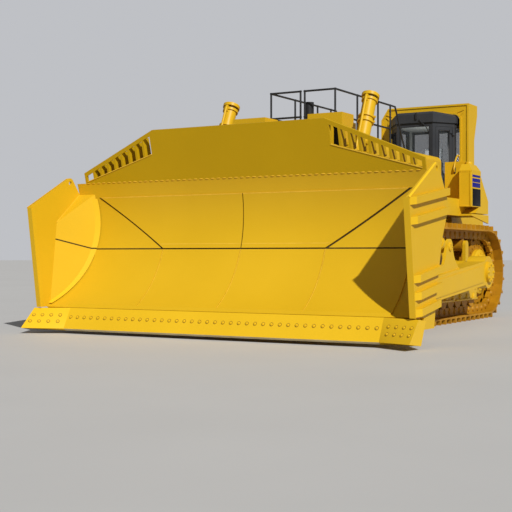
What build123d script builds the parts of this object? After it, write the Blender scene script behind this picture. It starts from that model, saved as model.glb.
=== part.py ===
from build123d import *

import os
from math import cos, hypot, pi, radians, sin, sqrt

# Very large crawler dozer: half-U blade with a tall spill guard, outboard push arms,
# rear cab and roll-over frame.
# Millimetres. +X forward, +Y to the machine's left, +Z up, ground at Z = 0,
# origin on the ground under the middle of the overall length and width.

os.makedirs("parts", exist_ok=True)

# Fits
running_gap = 0.5
seat_gap = 0.3
clear_gap = 10

# Track loops
track_gauge = 3220
shoe_width = 810
shoe_count = 50
shoe_plate = 35
grouser_height = 95
grouser_foot = 80
grouser_tip = 36
shoe_gap = 30
shoe_gap_depth = 20
link_height = 180
link_notch = 70
link_dip = 60
rail_width = 85
rail_offset = 165
axle_height = 1030
sprocket_x = -3200
idler_x = 1330

# Sprockets, final drives and idlers
sprocket_root_radius = 705
tooth_height = 95
tooth_foot_width = 190
tooth_crest_width = 90
sprocket_width = 150
tooth_count = 17
hub_radius = 420
drive_cover_radius = 500
drive_cap_radius = 330
drive_cap_end = 310
idler_rim_half = 215
idler_flange_half = 110
idler_flange = 68
idler_dish = 95
idler_hub_radius = 230
idler_dish_radius = 600
idler_shaft_radius = 90
idler_shaft_half = 330

# Track frames and rollers
roller_radius = 190
roller_flange = 25
roller_flange_width = 22
roller_waist = 150
roller_shaft_radius = 60
roller_count = 7
first_roller_x = -2350
last_roller_x = 250
carrier_radius = 130
carrier_half = 205
carrier_xs = (-1900, -500)
carrier_shaft_radius = 55
carrier_post_inner = 225
carrier_post_outer = 295
carrier_post_half = 95
beam_half = 180
beam_rear_x = -2360
roller_guard_rear_x = -2560
beam_front_x = 420
beam_bottom = 725
beam_top = 1060
beam_flange = 40
roller_guard_inner = 250
roller_guard_outer = 290
roller_guard_bottom = 430
yoke_arm_inner = 235
yoke_arm_outer = 300
yoke_arm_half = 85
yoke_cross = 100

# Push arms
trunnion_x = -1250
trunnion_z = 1050
trunnion_radius = 150
trunnion_boss_radius = 235
trunnion_boss_end = 2100
arm_y = 2400
arm_half = 190
arm_rear_radius = 330
arm_rear_half = 245
arm_front_half = 215
arm_front_radius = 230
arm_cap_radius = 215
arm_cap_depth = 55
arm_panel = 18
arm_panel_margin = 75
arm_panel_rear_x = -900
arm_panel_front_x = 2700
arm_panel_slant = 260
blade_pin_x = 3950
blade_pin_z = 600
blade_pin_radius = 110

# Tilt cylinders between the arms and the blade's upper back
tilt_base_x = 950
tilt_base_z = 1560
tilt_eye_x = 3760
tilt_eye_z = 2300
tilt_pin_radius = 60
tilt_eye_radius = 115
tilt_eye_half = 85
tilt_ear = 55
tilt_barrel_radius = 120
tilt_neck_radius = 82
tilt_barrel_start = 230
tilt_barrel_end = 1700
tilt_bore_radius = 92
tilt_bore_start = 290
tilt_gland = 70
tilt_rod_radius = 60
tilt_rod_length = 2400
bracket_reach = 680
bracket_crown = 150
bracket_front = 430
bracket_foot_sink = 30
bracket_sag_x = 0.62
bracket_sag_z = 0.28
tilt_ring_radius = 140
tilt_ring = 90
tilt_head_radius = 82
tilt_head = 25

# Lift cylinders between the radiator guard and the blade's lower back
lift_y = 1490
yoke_x = 2700
yoke_z = 3300
lift_eye_x = 3650
lift_eye_z = 1150
lift_barrel_up = 1080
lift_barrel_down = 800
lift_barrel_radius = 125
lift_bore_radius = 97
lift_gland = 70
lift_gland_radius = 145
lift_head = 60
lift_head_radius = 165
lift_ring_radius = 150
lift_ring = 50
lift_groove = 40
pipe_clamp = 55
lift_pin_head_radius = 95
lift_pin_head = 28
lift_collar_radius = 160
lift_collar_half = 100
lift_pin_radius = 70
lift_rod_radius = 65
lift_rod_length = 2250
lift_eye_radius = 120
lift_eye_half = 80
lift_ear = 50
lift_pipe_radius = 24
lift_pipe_offset = 172
lift_pipe_start = -1000
lift_pipe_end = 420
cheek_thick = 60
cheek_half_height = 140
cheek_rear_x = 2330
cheek_nose = 120
yoke_back = 70
lift_ear_radius = 150
lift_ear_head_z = 1500
tilt_ear_radius = 145
ear_sink = 20

# Blade face
mold_radius = 1873
mold_centre_x = 6167
mold_centre_z = 2109
mold_plate = 50
mold_top = 2750
mold_toe_z = 461
blade_half = 3600
toe_plate = 60
toe_depth = 300
bit_length = 550
edge_half = blade_half - bit_length
edge_plate = 80
lip_x = 5470
lip_z = 90
edge_top_x = 5277
edge_top_z = 455
liner_plate = 20
liner_gap = 24
liner_bottom = 520
liner_seam = 1530
liner_top = 2480
liner_end_gap = 450
liner_half = blade_half - liner_end_gap
liner_half_seam = 1630
liner_top_inset = 60
liner_half_top = liner_half - liner_top_inset

# Corner wings, end bits and end plates
wing_foot_x = 5190
wing_foot_z = 470
wing_head_x = 5000
wing_head_z = 2015
wing_fold_x = 4330
wing_width = 410
wing_overrun = 2
cap_rear_x = 4340
cap_rear_z = 2545
bit_corner_x = 5860
bit_corner_z = 105
bit_overhang = 2
bit_top_x = 5500
bit_top_z = 450
end_plate = 50
end_gap = 15
end_bar_depth = 110
end_bar_inset = 45
rib_depth = 48
rib_height = 115
rib_rise = 0.14
rib_starts = (494, 743, 1000, 1860, 2150)
rib_lengths = (800, 900, 1000, 1350, 1420)
end_front_x = 5495
end_front_z = 417
end_nose_x = 5750
end_nose_z = 2250
end_eye_x = 4610
end_eye_z = 2750
end_eye_radius = 95
end_eye_hole = 42
end_shoulder_x = 4070
end_shoulder_z = 2200
end_waist_x = 4380
end_waist_z = 1640
end_heel_x = 4640
end_heel_z = 710
end_foot_x = 4720
end_foot_z = 280

# Blade back
back_inset = 150
back_foot = 470
back_low_x = 4450
back_low_top = 1170
back_high_x = 3920
back_high_bottom = 1850
back_high_top = 2560
back_rib = 45
back_rib_ys = (0, 700, 2000, 2800)
arm_ear_gap = 12
arm_ear = 75
blade_pin_head = 35
ear_radius = 190

# Spill guard
spill_top_z = 3640
spill_top_half = 1720
spill_end_z = 2940
spill_inset = 205
spill_half = blade_half - spill_inset
spill_lean = 14.5
spill_plate = 40
spill_bar = 75
slot_low_inner = 3226
slot_low_outer = 2790
slot_inner_y = 1790
slot_margin = 55
slot_outer_y = spill_half - slot_margin
slat_count = 8
slat_plate = 45
slat_depth = 190
slat_sink = 25

# Hull and engine
case_rear_x = -4700
case_front_x = -1700
case_bottom = 750
case_top = 2050
rail_outer = 760
rail_inner_y = 560
rail_bottom = 1000
rail_top = 1500
belly_plate = 40
shelf_plate = 40
hull_front_x = 2600
pivot_x = -1900
pivot_z = 905
pivot_radius = 120
equalizer_x = 100
equalizer_half = 110
equalizer_height = 150
equalizer_reach = 1720
engine_front_x = 1950
engine_rear_x = -1500
engine_half = rail_inner_y
engine_bottom = 1250
engine_top = 3150

# Radiator guard and hood
guard_half = 1150
guard_front_x = 2750
guard_rear_x = 2150
guard_base = 1300
guard_top = 3850
guard_wall = 60
grille_bars = 13
grille_bar = 32
grille_depth = 70
core_front_x = 2600
core_rear_x = 2330
crown_inner = 450
crown_rear_x = 2250
crown_top = 4000
hood_half = 900
hood_rear_x = -3050
hood_top = 3650
hood_shoulder = 3250
hood_corner = 140
hood_sheet = 30
case_half = hood_half
louvre_drop = 385
louvre_rows = 9
louvre_columns = 5
louvre_width = 620
louvre_height = 26
louvre_pitch_x = 880
louvre_pitch_z = 62
stack_x = 1815
stack_radius = 95
stack_top = 4360
stack_wall = 12
rail_tube = 19
rail_height = 910
rail_middle = 400
rail_inset = 70
rail_front_inset = 70
rail_gate = 90
rail_posts_x = (1080, 70, -570)
rail_rear_x = -830
rail_stay_run = 560

# Platform, fenders and tanks
deck_half = 1150
deck_top = 2650
fender_top = 2300
fender_plate = 40
fender_half = 1900
fender_front_x = 300
fender_rear_x = -3400
skirt_plate = 40
skirt_rear_z = 2110
fascia_top = 2630
tank_front_x = -2230
tank_rear_low_x = -3370
tank_rear_low_z = 2615
tank_rear_high_x = -2850
tank_rear_high_z = 3145
tank_bottom = 2460
tank_heel_x = -2730
tank_heel_front_x = -2470
tank_heel_gap = 20
tank_brow_x = -2370
tank_shoulder = 3255
tank_top = 3400
tank_crown_half = 1790
tank_base_y = 1500
tank_step_y = 1620
tank_step_x = -2600
tank_step_top = 3480

# Cab
cab_front_x = -3700
cab_front_half = 450
cab_side_x = -4220
cab_half = 800
cab_rear_x = -5300
cab_eave = 4540
cab_wall = 70
pillar_width = 85
sill_front = 3150
sill_side = 3350
head_rail = 90
glass_sheet = 10
roof_overhang = 40
roof_front_top = 4800
roof_rear_top = 4640
roof_chamfer = 60
door_gap = 6
door_edge = 60
door_sill = 60
door_frame = 85
hinge_out = 30
hinge_pin_radius = 14
hinge_knuckle_radius = 27
hinge_height = 80
hinge_foot_height = 45
hinge_levels = (2950, 4250)

# Roll-over frame
rops_front_x = -4300
rops_leg_depth = 420
rops_head_depth = 640
rops_half = 1120
rops_leg = 220
rops_top = 5010
rops_beam_bottom = 4765
rops_taper_z = 4150
rops_inner_radius = 150
rops_cut_y = 180
rops_cut_z = 280
rops_border = 42
rops_recess = 22

# Seat and console
seat_x = -4650
seat_half = 270
seat_base_half = 190
seat_base_top = 3080
cushion_top = 3240
cushion_depth = 560
cushion_round = 45
seat_back_top = 4030
seat_back_depth = 150
seat_recline = 110
console_inner = 330
console_outer = 520
console_top = 3330
console_slope = 160
console_front_x = -4150
console_rear_x = -4750

# Counterweight and drawbar
weight_rear_x = -5500
weight_half = 1080
weight_bottom = 1000
weight_chamfer = 160
drawbar_half = 240
drawbar_bottom = 820
drawbar_length = 1160
drawbar_pin_radius = 65
drawbar_pin_inset = 170


def side(y):
    # Upright plane at this Y: local x forward, local y up, extrusion towards -Y.
    return Plane(origin=(0, y, 0), x_dir=(1, 0, 0), z_dir=(0, -1, 0))


def block(x0, x1, y0, y1, z0, z1, mode=Mode.ADD):
    # Box between two corners.
    with Locations(((x0 + x1) / 2, (y0 + y1) / 2, (z0 + z1) / 2)):
        Box(abs(x1 - x0), abs(y1 - y0), abs(z1 - z0), mode=mode)


def bar(x, z, y0, y1, radius, mode=Mode.ADD):
    # Round bar along Y.
    with Locations(Location((x, (y0 + y1) / 2, z), (90, 0, 0))):
        Cylinder(radius, abs(y1 - y0), mode=mode)


def slab(points, y0, y1, mode=Mode.ADD):
    # Plate with this side outline between two values of Y.
    with BuildSketch(side(max(y0, y1))) as outline:
        with BuildLine():
            Polyline(*points, close=True)
        make_face()
    extrude(outline.sketch, amount=abs(y1 - y0), mode=mode)


def turned(x, z, outline):
    # Round body on a cross axis, from its outline as (y, radius).
    with BuildSketch(Plane(origin=(x, 0, z), x_dir=(0, 1, 0), z_dir=(1, 0, 0))) as profile:
        with BuildLine():
            Polyline((outline[0][0], 0), *outline, (outline[-1][0], 0), close=True)
        make_face()
    revolve(profile.sketch, axis=Axis((x, 0, z), (0, 1, 0)))


# Track loops: shoes with single grousers, and two rails of notched links inside
track_y = track_gauge / 2
plate_radius = axle_height - grouser_height
rail_inner = plate_radius - shoe_plate - link_height
wheelbase = idler_x - sprocket_x
loop_length = 2 * wheelbase + 2 * pi * plate_radius
shoe_pitch = loop_length / shoe_count
link_half_turn = (shoe_pitch - link_notch) / (2 * plate_radius)


def loop_point(s, height):
    # Point at the distance s along the shoe plates, raised outwards by height.
    half_turn = pi * plate_radius
    r = plate_radius + height
    if s < wheelbase:
        return (sprocket_x + s, axle_height + r)
    if s < wheelbase + half_turn:
        a = pi / 2 - (s - wheelbase) / plate_radius
        return (idler_x + r * cos(a), axle_height + r * sin(a))
    if s < 2 * wheelbase + half_turn:
        return (idler_x - (s - wheelbase - half_turn), axle_height - r)
    a = -pi / 2 - (s - 2 * wheelbase - half_turn) / plate_radius
    return (sprocket_x + r * cos(a), axle_height + r * sin(a))


def loop_face(points, mode=Mode.ADD):
    # Face inside a closed loop of points.
    with BuildLine() as outline:
        Polyline(*points, close=True)
    make_face(outline.edges(), mode=mode)


link_depth = shoe_plate + link_height
shoe_outline = []
plate_outline = []
link_outline = []
for shoe in range(shoe_count):
    start = shoe * shoe_pitch
    plate_outline.append(loop_point(start, -shoe_plate))
    link_outline.append(loop_point(start, link_dip - link_depth))
    link_outline.append(loop_point(start + link_notch / 2, -link_depth))
    link_outline.append(loop_point(start + shoe_pitch - link_notch / 2, -link_depth))
    foot = start + (shoe_pitch - grouser_foot) / 2
    crest = start + (shoe_pitch - grouser_tip) / 2
    shoe_outline.append(loop_point(start, -shoe_gap_depth))
    shoe_outline.append(loop_point(start + shoe_gap / 2, 0))
    shoe_outline.append(loop_point(foot, 0))
    shoe_outline.append(loop_point(crest, grouser_height))
    shoe_outline.append(loop_point(crest + grouser_tip, grouser_height))
    shoe_outline.append(loop_point(foot + grouser_foot, 0))
    shoe_outline.append(loop_point(start + shoe_pitch - shoe_gap / 2, 0))

with BuildPart() as track_left:
    with BuildSketch(side(track_y + shoe_width / 2)):
        loop_face(shoe_outline)
        loop_face(plate_outline, Mode.SUBTRACT)
    extrude(amount=shoe_width)
    for offset_y in (-rail_offset, rail_offset):
        with BuildSketch(side(track_y + offset_y + rail_width / 2)):
            loop_face(plate_outline)
            loop_face(link_outline, Mode.SUBTRACT)
        extrude(amount=rail_width)

with BuildPart() as track_right:
    mirror(track_left.part, about=Plane.XZ)

# Sprockets between the rails
tooth = [
    (-tooth_height, -tooth_foot_width / 2),
    (tooth_height, -tooth_crest_width / 2),
    (tooth_height, tooth_crest_width / 2),
    (-tooth_height, tooth_foot_width / 2),
]

with BuildPart() as sprockets:
    with BuildSketch(Plane(origin=(sprocket_x, track_y, axle_height), x_dir=(1, 0, 0), z_dir=(0, -1, 0))):
        Circle(sprocket_root_radius)
        with PolarLocations(sprocket_root_radius, tooth_count):
            Polygon(*tooth, align=None)
        Circle(hub_radius + seat_gap, mode=Mode.SUBTRACT)
    extrude(amount=sprocket_width / 2, both=True)
    mirror(about=Plane.XZ)

# Final drives: cases on the hull's sides that carry the sprockets
sprocket_in = track_y - sprocket_width / 2
sprocket_out = track_y + sprocket_width / 2

with BuildPart() as final_drives:
    turned(sprocket_x, axle_height, [
        (case_half, drive_cover_radius),
        (sprocket_in, drive_cover_radius),
        (sprocket_in, hub_radius),
        (sprocket_out, hub_radius),
        (sprocket_out, drive_cover_radius),
        (sprocket_out + sprocket_width / 2, drive_cover_radius),
        (sprocket_out + sprocket_width, drive_cap_radius),
        (track_y + drive_cap_end, drive_cap_radius),
    ])
    mirror(about=Plane.XZ)

# Idlers at the front, inside the links' straight inner edges
idler_radius = rail_inner * cos(link_half_turn) - seat_gap

with BuildPart() as idlers:
    half_outline = [
        (idler_shaft_half, idler_shaft_radius),
        (idler_rim_half, idler_shaft_radius),
        (idler_rim_half, idler_hub_radius),
        (idler_rim_half - idler_dish, idler_hub_radius),
        (idler_rim_half - idler_dish, idler_dish_radius),
        (idler_rim_half, idler_dish_radius),
        (idler_rim_half, idler_radius),
        (idler_flange_half, idler_radius),
        (idler_flange_half, idler_radius + idler_flange),
    ]
    inner = [(track_y - y, r) for y, r in half_outline]
    outer = [(track_y + y, r) for y, r in reversed(half_outline)]
    turned(idler_x, axle_height, inner + outer)
    mirror(about=Plane.XZ)

# Track rollers below the frames, carrier rollers above
track_rail_top = axle_height - rail_inner
roller_z = track_rail_top + roller_radius + seat_gap
carrier_z = axle_height + rail_inner - carrier_radius - seat_gap
roller_step = (last_roller_x - first_roller_x) / (roller_count - 1)
flange_in = rail_offset + rail_width / 2 + clear_gap
roller_half_outline = [
    (roller_guard_inner - seat_gap, roller_shaft_radius),
    (flange_in + roller_flange_width, roller_shaft_radius),
    (flange_in + roller_flange_width, roller_radius + roller_flange),
    (flange_in, roller_radius + roller_flange),
    (flange_in, roller_radius),
    (rail_offset - rail_width / 2, roller_radius),
    (rail_offset - rail_width / 2, roller_waist),
]

with BuildPart() as track_rollers:
    for index in range(roller_count):
        inner = [(track_y - y, r) for y, r in roller_half_outline]
        outer = [(track_y + y, r) for y, r in reversed(roller_half_outline)]
        turned(first_roller_x + index * roller_step, roller_z, inner + outer)
    for carrier_x in carrier_xs:
        turned(carrier_x, carrier_z, [
            (track_y - carrier_half, carrier_radius),
            (track_y + carrier_half, carrier_radius),
            (track_y + carrier_half, carrier_shaft_radius),
            (track_y + carrier_post_inner, carrier_shaft_radius),
        ])
    mirror(about=Plane.XZ)

# Track frames: beam, roller guards, carrier posts, idler fork and push-arm trunnion
with BuildPart() as track_frame_left:
    block(beam_rear_x, beam_front_x, track_y - beam_half, track_y + beam_half, beam_bottom, beam_top)
    block(beam_rear_x, beam_front_x, track_y - roller_guard_outer, track_y + roller_guard_outer,
          beam_bottom, beam_bottom + beam_flange)
    for hand in (-1, 1):
        block(roller_guard_rear_x, beam_front_x, track_y + hand * roller_guard_inner,
              track_y + hand * roller_guard_outer, roller_guard_bottom, beam_bottom)
        block(beam_front_x, idler_x, track_y + hand * yoke_arm_inner, track_y + hand * yoke_arm_outer,
              axle_height - yoke_arm_half, axle_height + yoke_arm_half)
        bar(idler_x, axle_height, track_y + hand * yoke_arm_inner, track_y + hand * yoke_arm_outer,
            2 * yoke_arm_half)
        bar(idler_x, axle_height, track_y + hand * yoke_arm_inner, track_y + hand * idler_shaft_half,
            idler_shaft_radius + seat_gap, Mode.SUBTRACT)
    block(beam_front_x - yoke_cross, beam_front_x, track_y - yoke_arm_outer, track_y + yoke_arm_outer,
          axle_height - yoke_arm_half, axle_height + yoke_arm_half)
    for carrier_x in carrier_xs:
        block(carrier_x - carrier_post_half, carrier_x + carrier_post_half, track_y,
              track_y + carrier_post_outer, beam_top, beam_top + beam_flange)
        block(carrier_x - carrier_post_half, carrier_x + carrier_post_half, track_y + carrier_post_inner,
              track_y + carrier_post_outer, beam_top, carrier_z)
        bar(carrier_x, carrier_z, track_y + carrier_post_inner, track_y + carrier_post_outer,
            carrier_post_half)
    bar(trunnion_x, trunnion_z, track_y, trunnion_boss_end, trunnion_boss_radius)
    bar(trunnion_x, trunnion_z, track_y, arm_y + arm_half - clear_gap, trunnion_radius)

with BuildPart() as track_frame_right:
    mirror(track_frame_left.part, about=Plane.XZ)

# Push arms: box arms from the trunnions to the blade pins, each with a curved bracket for its tilt cylinder
def arm_edge(x, hand):
    # Height of the arm's upper (hand 1) or lower (hand -1) edge.
    share = (x - trunnion_x) / (blade_pin_x - trunnion_x)
    axis_z = trunnion_z + share * (blade_pin_z - trunnion_z)
    return axis_z + hand * (arm_rear_half + share * (arm_front_half - arm_rear_half))


bracket_rear_x = tilt_base_x - bracket_reach
bracket_front_x = tilt_base_x + bracket_front
bracket_rear_z = arm_edge(bracket_rear_x, 1) - bracket_foot_sink
tilt_ear_in = tilt_eye_half + clear_gap
tilt_ear_out = tilt_ear_in + tilt_ear

with BuildPart() as push_arm_left:
    with BuildSketch(side(arm_y + arm_half)):
        with BuildLine():
            Polyline(
                (trunnion_x, arm_edge(trunnion_x, 1)),
                (blade_pin_x, arm_edge(blade_pin_x, 1)),
                (blade_pin_x, arm_edge(blade_pin_x, -1)),
                (trunnion_x, arm_edge(trunnion_x, -1)),
                close=True,
            )
        make_face()
        with Locations((trunnion_x, trunnion_z)):
            Circle(arm_rear_radius)
        with Locations((blade_pin_x, blade_pin_z)):
            Circle(arm_front_radius)
    extrude(amount=2 * arm_half)
    for hand in (-1, 1):
        ear_side = arm_y + hand * (tilt_ear_in + tilt_ear / 2) + tilt_ear / 2
        with BuildSketch(side(ear_side)):
            with BuildLine():
                rear_foot = (bracket_rear_x, bracket_rear_z)
                rear_head = (tilt_base_x - bracket_crown, tilt_base_z)
                waist = (
                    rear_foot[0] + bracket_sag_x * (rear_head[0] - rear_foot[0]),
                    rear_foot[1] + bracket_sag_z * (rear_head[1] - rear_foot[1]),
                )
                front_head = (tilt_base_x + bracket_crown, tilt_base_z)
                front_foot = (bracket_front_x, arm_edge(bracket_front_x, 1) - bracket_foot_sink)
                ThreePointArc(rear_foot, waist, rear_head)
                ThreePointArc(rear_head, (tilt_base_x, tilt_base_z + bracket_crown), front_head)
                Polyline(front_head, front_foot, rear_foot)
            make_face()
        extrude(amount=tilt_ear)
    bar(tilt_base_x, tilt_base_z, arm_y - tilt_ear_out, arm_y + tilt_ear_out, tilt_pin_radius)
    slab(
        [
            (arm_panel_rear_x, arm_edge(arm_panel_rear_x, 1) - arm_panel_margin),
            (arm_panel_front_x, arm_edge(arm_panel_front_x, 1) - arm_panel_margin),
            (arm_panel_front_x - arm_panel_slant, arm_edge(arm_panel_front_x, -1) + arm_panel_margin),
            (arm_panel_rear_x, arm_edge(arm_panel_rear_x, -1) + arm_panel_margin),
        ],
        arm_y + arm_half,
        arm_y + arm_half + arm_panel,
    )
    bar(trunnion_x, trunnion_z, arm_y - arm_half, arm_y + arm_half, trunnion_radius + running_gap,
        Mode.SUBTRACT)
    bar(blade_pin_x, blade_pin_z, arm_y - arm_half, arm_y + arm_half, blade_pin_radius + running_gap,
        Mode.SUBTRACT)
    bar(trunnion_x, trunnion_z, arm_y + arm_half, arm_y + arm_half + arm_cap_depth, arm_cap_radius)

with BuildPart() as push_arm_right:
    mirror(push_arm_left.part, about=Plane.XZ)

# Tilt cylinders
tilt_reach = hypot(tilt_eye_x - tilt_base_x, tilt_eye_z - tilt_base_z)
tilt_plane = Plane(
    origin=(tilt_base_x, arm_y, tilt_base_z),
    x_dir=(0, 1, 0),
    z_dir=(tilt_eye_x - tilt_base_x, 0, tilt_eye_z - tilt_base_z),
)
upward = (Align.CENTER, Align.CENTER, Align.MIN)
crosswise = (0, 90, 0)

with BuildPart(tilt_plane) as tilt_barrel_left:
    with Locations((0, 0, tilt_barrel_start)):
        Cylinder(tilt_barrel_radius, tilt_barrel_end - tilt_barrel_start, align=upward)
    for ring_start in (tilt_barrel_start, tilt_barrel_end - tilt_ring):
        with Locations((0, 0, ring_start)):
            Cylinder(tilt_ring_radius, tilt_ring, align=upward)
    Cylinder(tilt_neck_radius, tilt_barrel_start, align=upward)
    with Locations(Location((0, 0, 0), crosswise)):
        Cylinder(tilt_eye_radius, 2 * tilt_eye_half)
        Cylinder(tilt_pin_radius + running_gap, 2 * tilt_eye_half, mode=Mode.SUBTRACT)
    with Locations((0, 0, tilt_bore_start)):
        Cylinder(tilt_bore_radius, tilt_barrel_end - tilt_gland - tilt_bore_start, align=upward,
                 mode=Mode.SUBTRACT)
        Cylinder(tilt_rod_radius + running_gap, tilt_barrel_end - tilt_bore_start, align=upward,
                 mode=Mode.SUBTRACT)

with BuildPart(tilt_plane) as tilt_rod_left:
    with Locations((0, 0, tilt_reach - tilt_rod_length)):
        Cylinder(tilt_rod_radius, tilt_rod_length, align=upward)
    with Locations(Location((0, 0, tilt_reach), crosswise)):
        Cylinder(tilt_eye_radius, 2 * tilt_eye_half)
        Cylinder(tilt_pin_radius, 2 * tilt_eye_half, mode=Mode.SUBTRACT)

with BuildPart() as tilt_barrel_right:
    mirror(tilt_barrel_left.part, about=Plane.XZ)

with BuildPart() as tilt_rod_right:
    mirror(tilt_rod_left.part, about=Plane.XZ)

# Lift cylinders, carried at mid-length by yokes on the radiator guard
lift_reach = hypot(lift_eye_x - yoke_x, lift_eye_z - yoke_z)
lift_plane = Plane(
    origin=(yoke_x, lift_y, yoke_z),
    x_dir=(0, 1, 0),
    z_dir=(lift_eye_x - yoke_x, 0, lift_eye_z - yoke_z),
)
cheek_in = lift_collar_radius + clear_gap
cheek_out = cheek_in + cheek_thick
pipe_clamps = (lift_pipe_start, (lift_pipe_start + lift_pipe_end) / 2, lift_pipe_end - pipe_clamp)

with BuildPart(lift_plane) as lift_barrel_left:
    with Locations((0, 0, -lift_barrel_up)):
        Cylinder(lift_barrel_radius, lift_barrel_up + lift_barrel_down, align=upward)
    with Locations((0, 0, -lift_barrel_up - lift_head)):
        Cylinder(lift_head_radius, lift_head, align=upward)
    with Locations((0, 0, lift_groove - lift_barrel_up)):
        Cylinder(lift_ring_radius, lift_ring, align=upward)
    with Locations((0, 0, lift_barrel_down - lift_gland)):
        Cylinder(lift_gland_radius, lift_gland, align=upward)
    Cylinder(lift_collar_radius, 2 * lift_collar_half)
    with Locations(Location((0, 0, 0), crosswise)):
        Cylinder(lift_pin_radius, 2 * cheek_out)
    with Locations((0, lift_pipe_offset, lift_pipe_start)):
        Cylinder(lift_pipe_radius, lift_pipe_end - lift_pipe_start, align=upward)
    for clamp_z in pipe_clamps:
        with Locations((0, lift_pipe_offset / 2, clamp_z)):
            Box(2 * lift_pipe_radius, lift_pipe_offset, pipe_clamp, align=upward)
    with Locations((0, 0, lift_head - lift_barrel_up)):
        Cylinder(lift_bore_radius, lift_barrel_up + lift_barrel_down - lift_head - lift_gland, align=upward,
                 mode=Mode.SUBTRACT)
        Cylinder(lift_rod_radius + running_gap, lift_barrel_up + lift_barrel_down - lift_head, align=upward,
                 mode=Mode.SUBTRACT)

with BuildPart(lift_plane) as lift_rod_left:
    with Locations((0, 0, lift_reach - lift_rod_length)):
        Cylinder(lift_rod_radius, lift_rod_length, align=upward)
    with Locations(Location((0, 0, lift_reach), crosswise)):
        Cylinder(lift_eye_radius, 2 * lift_eye_half)
        Cylinder(lift_rod_radius, 2 * lift_eye_half, mode=Mode.SUBTRACT)

with BuildPart() as lift_barrel_right:
    mirror(lift_barrel_left.part, about=Plane.XZ)

with BuildPart() as lift_rod_right:
    mirror(lift_rod_left.part, about=Plane.XZ)

with BuildPart() as lift_yokes:
    for hand in (-1, 1):
        block(cheek_rear_x, yoke_x + cheek_nose, lift_y + hand * cheek_in, lift_y + hand * cheek_out,
              yoke_z - cheek_half_height, yoke_z + cheek_half_height)
    block(cheek_rear_x, cheek_rear_x + yoke_back, guard_half, lift_y + cheek_out,
          yoke_z - cheek_half_height, yoke_z + cheek_half_height)
    block(cheek_rear_x, guard_front_x, guard_half, lift_y - cheek_in,
          yoke_z - cheek_half_height, yoke_z + cheek_half_height)
    bar(yoke_x, yoke_z, lift_y - cheek_out, lift_y + cheek_out, lift_pin_radius + running_gap, Mode.SUBTRACT)
    mirror(about=Plane.XZ)

# Blade face: one rolled plate with a toe behind the cutting edge, and flat wings in the corners
mold_back = mold_radius + mold_plate


def mold_x(z, radius):
    # X of the rolled face of this radius at the height z.
    return mold_centre_x - sqrt(radius**2 - (z - mold_centre_z)**2)


edge_length = hypot(edge_top_x - lip_x, edge_top_z - lip_z)
edge_up = ((edge_top_x - lip_x) / edge_length, (edge_top_z - lip_z) / edge_length)
edge_back = (-edge_up[1], edge_up[0])


def edge_point(up, back):
    # Point on the cutting edge's section: up along its face from the lip, back through its plate.
    return (lip_x + up * edge_up[0] + back * edge_back[0], lip_z + up * edge_up[1] + back * edge_back[1])


mold_face_top = (mold_x(mold_top, mold_radius), mold_top)
mold_face_toe = (mold_x(mold_toe_z, mold_radius), mold_toe_z)
mold_back_top = (mold_x(mold_top, mold_back), mold_top)
mold_back_toe = (mold_x(mold_toe_z, mold_back), mold_toe_z)

with BuildPart() as corner_wing:
    with BuildSketch(Plane.XY.offset(wing_foot_z)):
        with BuildLine():
            fold_run = wing_head_x - wing_fold_x
            Polyline(
                (wing_foot_x, blade_half),
                (wing_foot_x - wing_overrun * fold_run, blade_half - wing_overrun * wing_width),
                (wing_foot_x - wing_overrun * fold_run, blade_half),
                close=True,
            )
        make_face()
    extrude(amount=mold_top - wing_foot_z, dir=(wing_head_x - wing_foot_x, 0, wing_head_z - wing_foot_z))
    with BuildSketch(side(blade_half)):
        with Locations((mold_centre_x, mold_centre_z)):
            Circle(mold_radius + mold_plate / 2)
    extrude(amount=blade_half, mode=Mode.INTERSECT)
    split(
        bisect_by=Plane(
            origin=(wing_head_x, blade_half, wing_head_z),
            x_dir=(0, 1, 0),
            z_dir=(cap_rear_z - wing_head_z, 0, wing_head_x - cap_rear_x),
        ),
        keep=Keep.BOTTOM,
    )

with BuildPart() as moldboard:
    with BuildSketch(Plane.XZ):
        with BuildLine():
            ThreePointArc(mold_face_top, (mold_centre_x - mold_radius, mold_centre_z), mold_face_toe)
            Polyline(
                mold_face_toe,
                edge_point(edge_length + clear_gap, edge_plate),
                edge_point(edge_length - toe_depth, edge_plate),
                edge_point(edge_length - toe_depth, edge_plate + toe_plate),
                edge_point(edge_length, edge_plate + toe_plate),
                mold_back_toe,
            )
            ThreePointArc(mold_back_toe, (mold_centre_x - mold_back, mold_centre_z), mold_back_top)
            Line(mold_back_top, mold_face_top)
        make_face()
    extrude(amount=blade_half, both=True)
    add(corner_wing.part)
    mirror(corner_wing.part, about=Plane.XZ)

# Bolted liners on the face: a lower row, and an upper pair with slanted ends
def liner_strip(bottom, top):
    # Solid of the liner's thickness over this range of heights, right across the blade.
    with BuildSketch(Plane.XZ) as section:
        with BuildLine():
            middle = (bottom + top) / 2
            inner = mold_radius - liner_plate
            ThreePointArc((mold_x(bottom, mold_radius), bottom), (mold_x(middle, mold_radius), middle),
                          (mold_x(top, mold_radius), top))
            Line((mold_x(top, mold_radius), top), (mold_x(top, inner), top))
            ThreePointArc((mold_x(top, inner), top), (mold_x(middle, inner), middle),
                          (mold_x(bottom, inner), bottom))
            Line((mold_x(bottom, inner), bottom), (mold_x(bottom, mold_radius), bottom))
        make_face()
    extrude(section.sketch, amount=liner_half, both=True)


with BuildPart() as liner_lower:
    liner_strip(liner_bottom, liner_seam - liner_gap)
    for seam_y in (-liner_half_seam, 0, liner_half_seam):
        block(mold_centre_x - mold_radius, lip_x, seam_y - liner_gap / 2, seam_y + liner_gap / 2,
              lip_z, mold_top, Mode.SUBTRACT)
    add(corner_wing.part, mode=Mode.SUBTRACT)
    mirror(corner_wing.part, about=Plane.XZ, mode=Mode.SUBTRACT)

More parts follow.
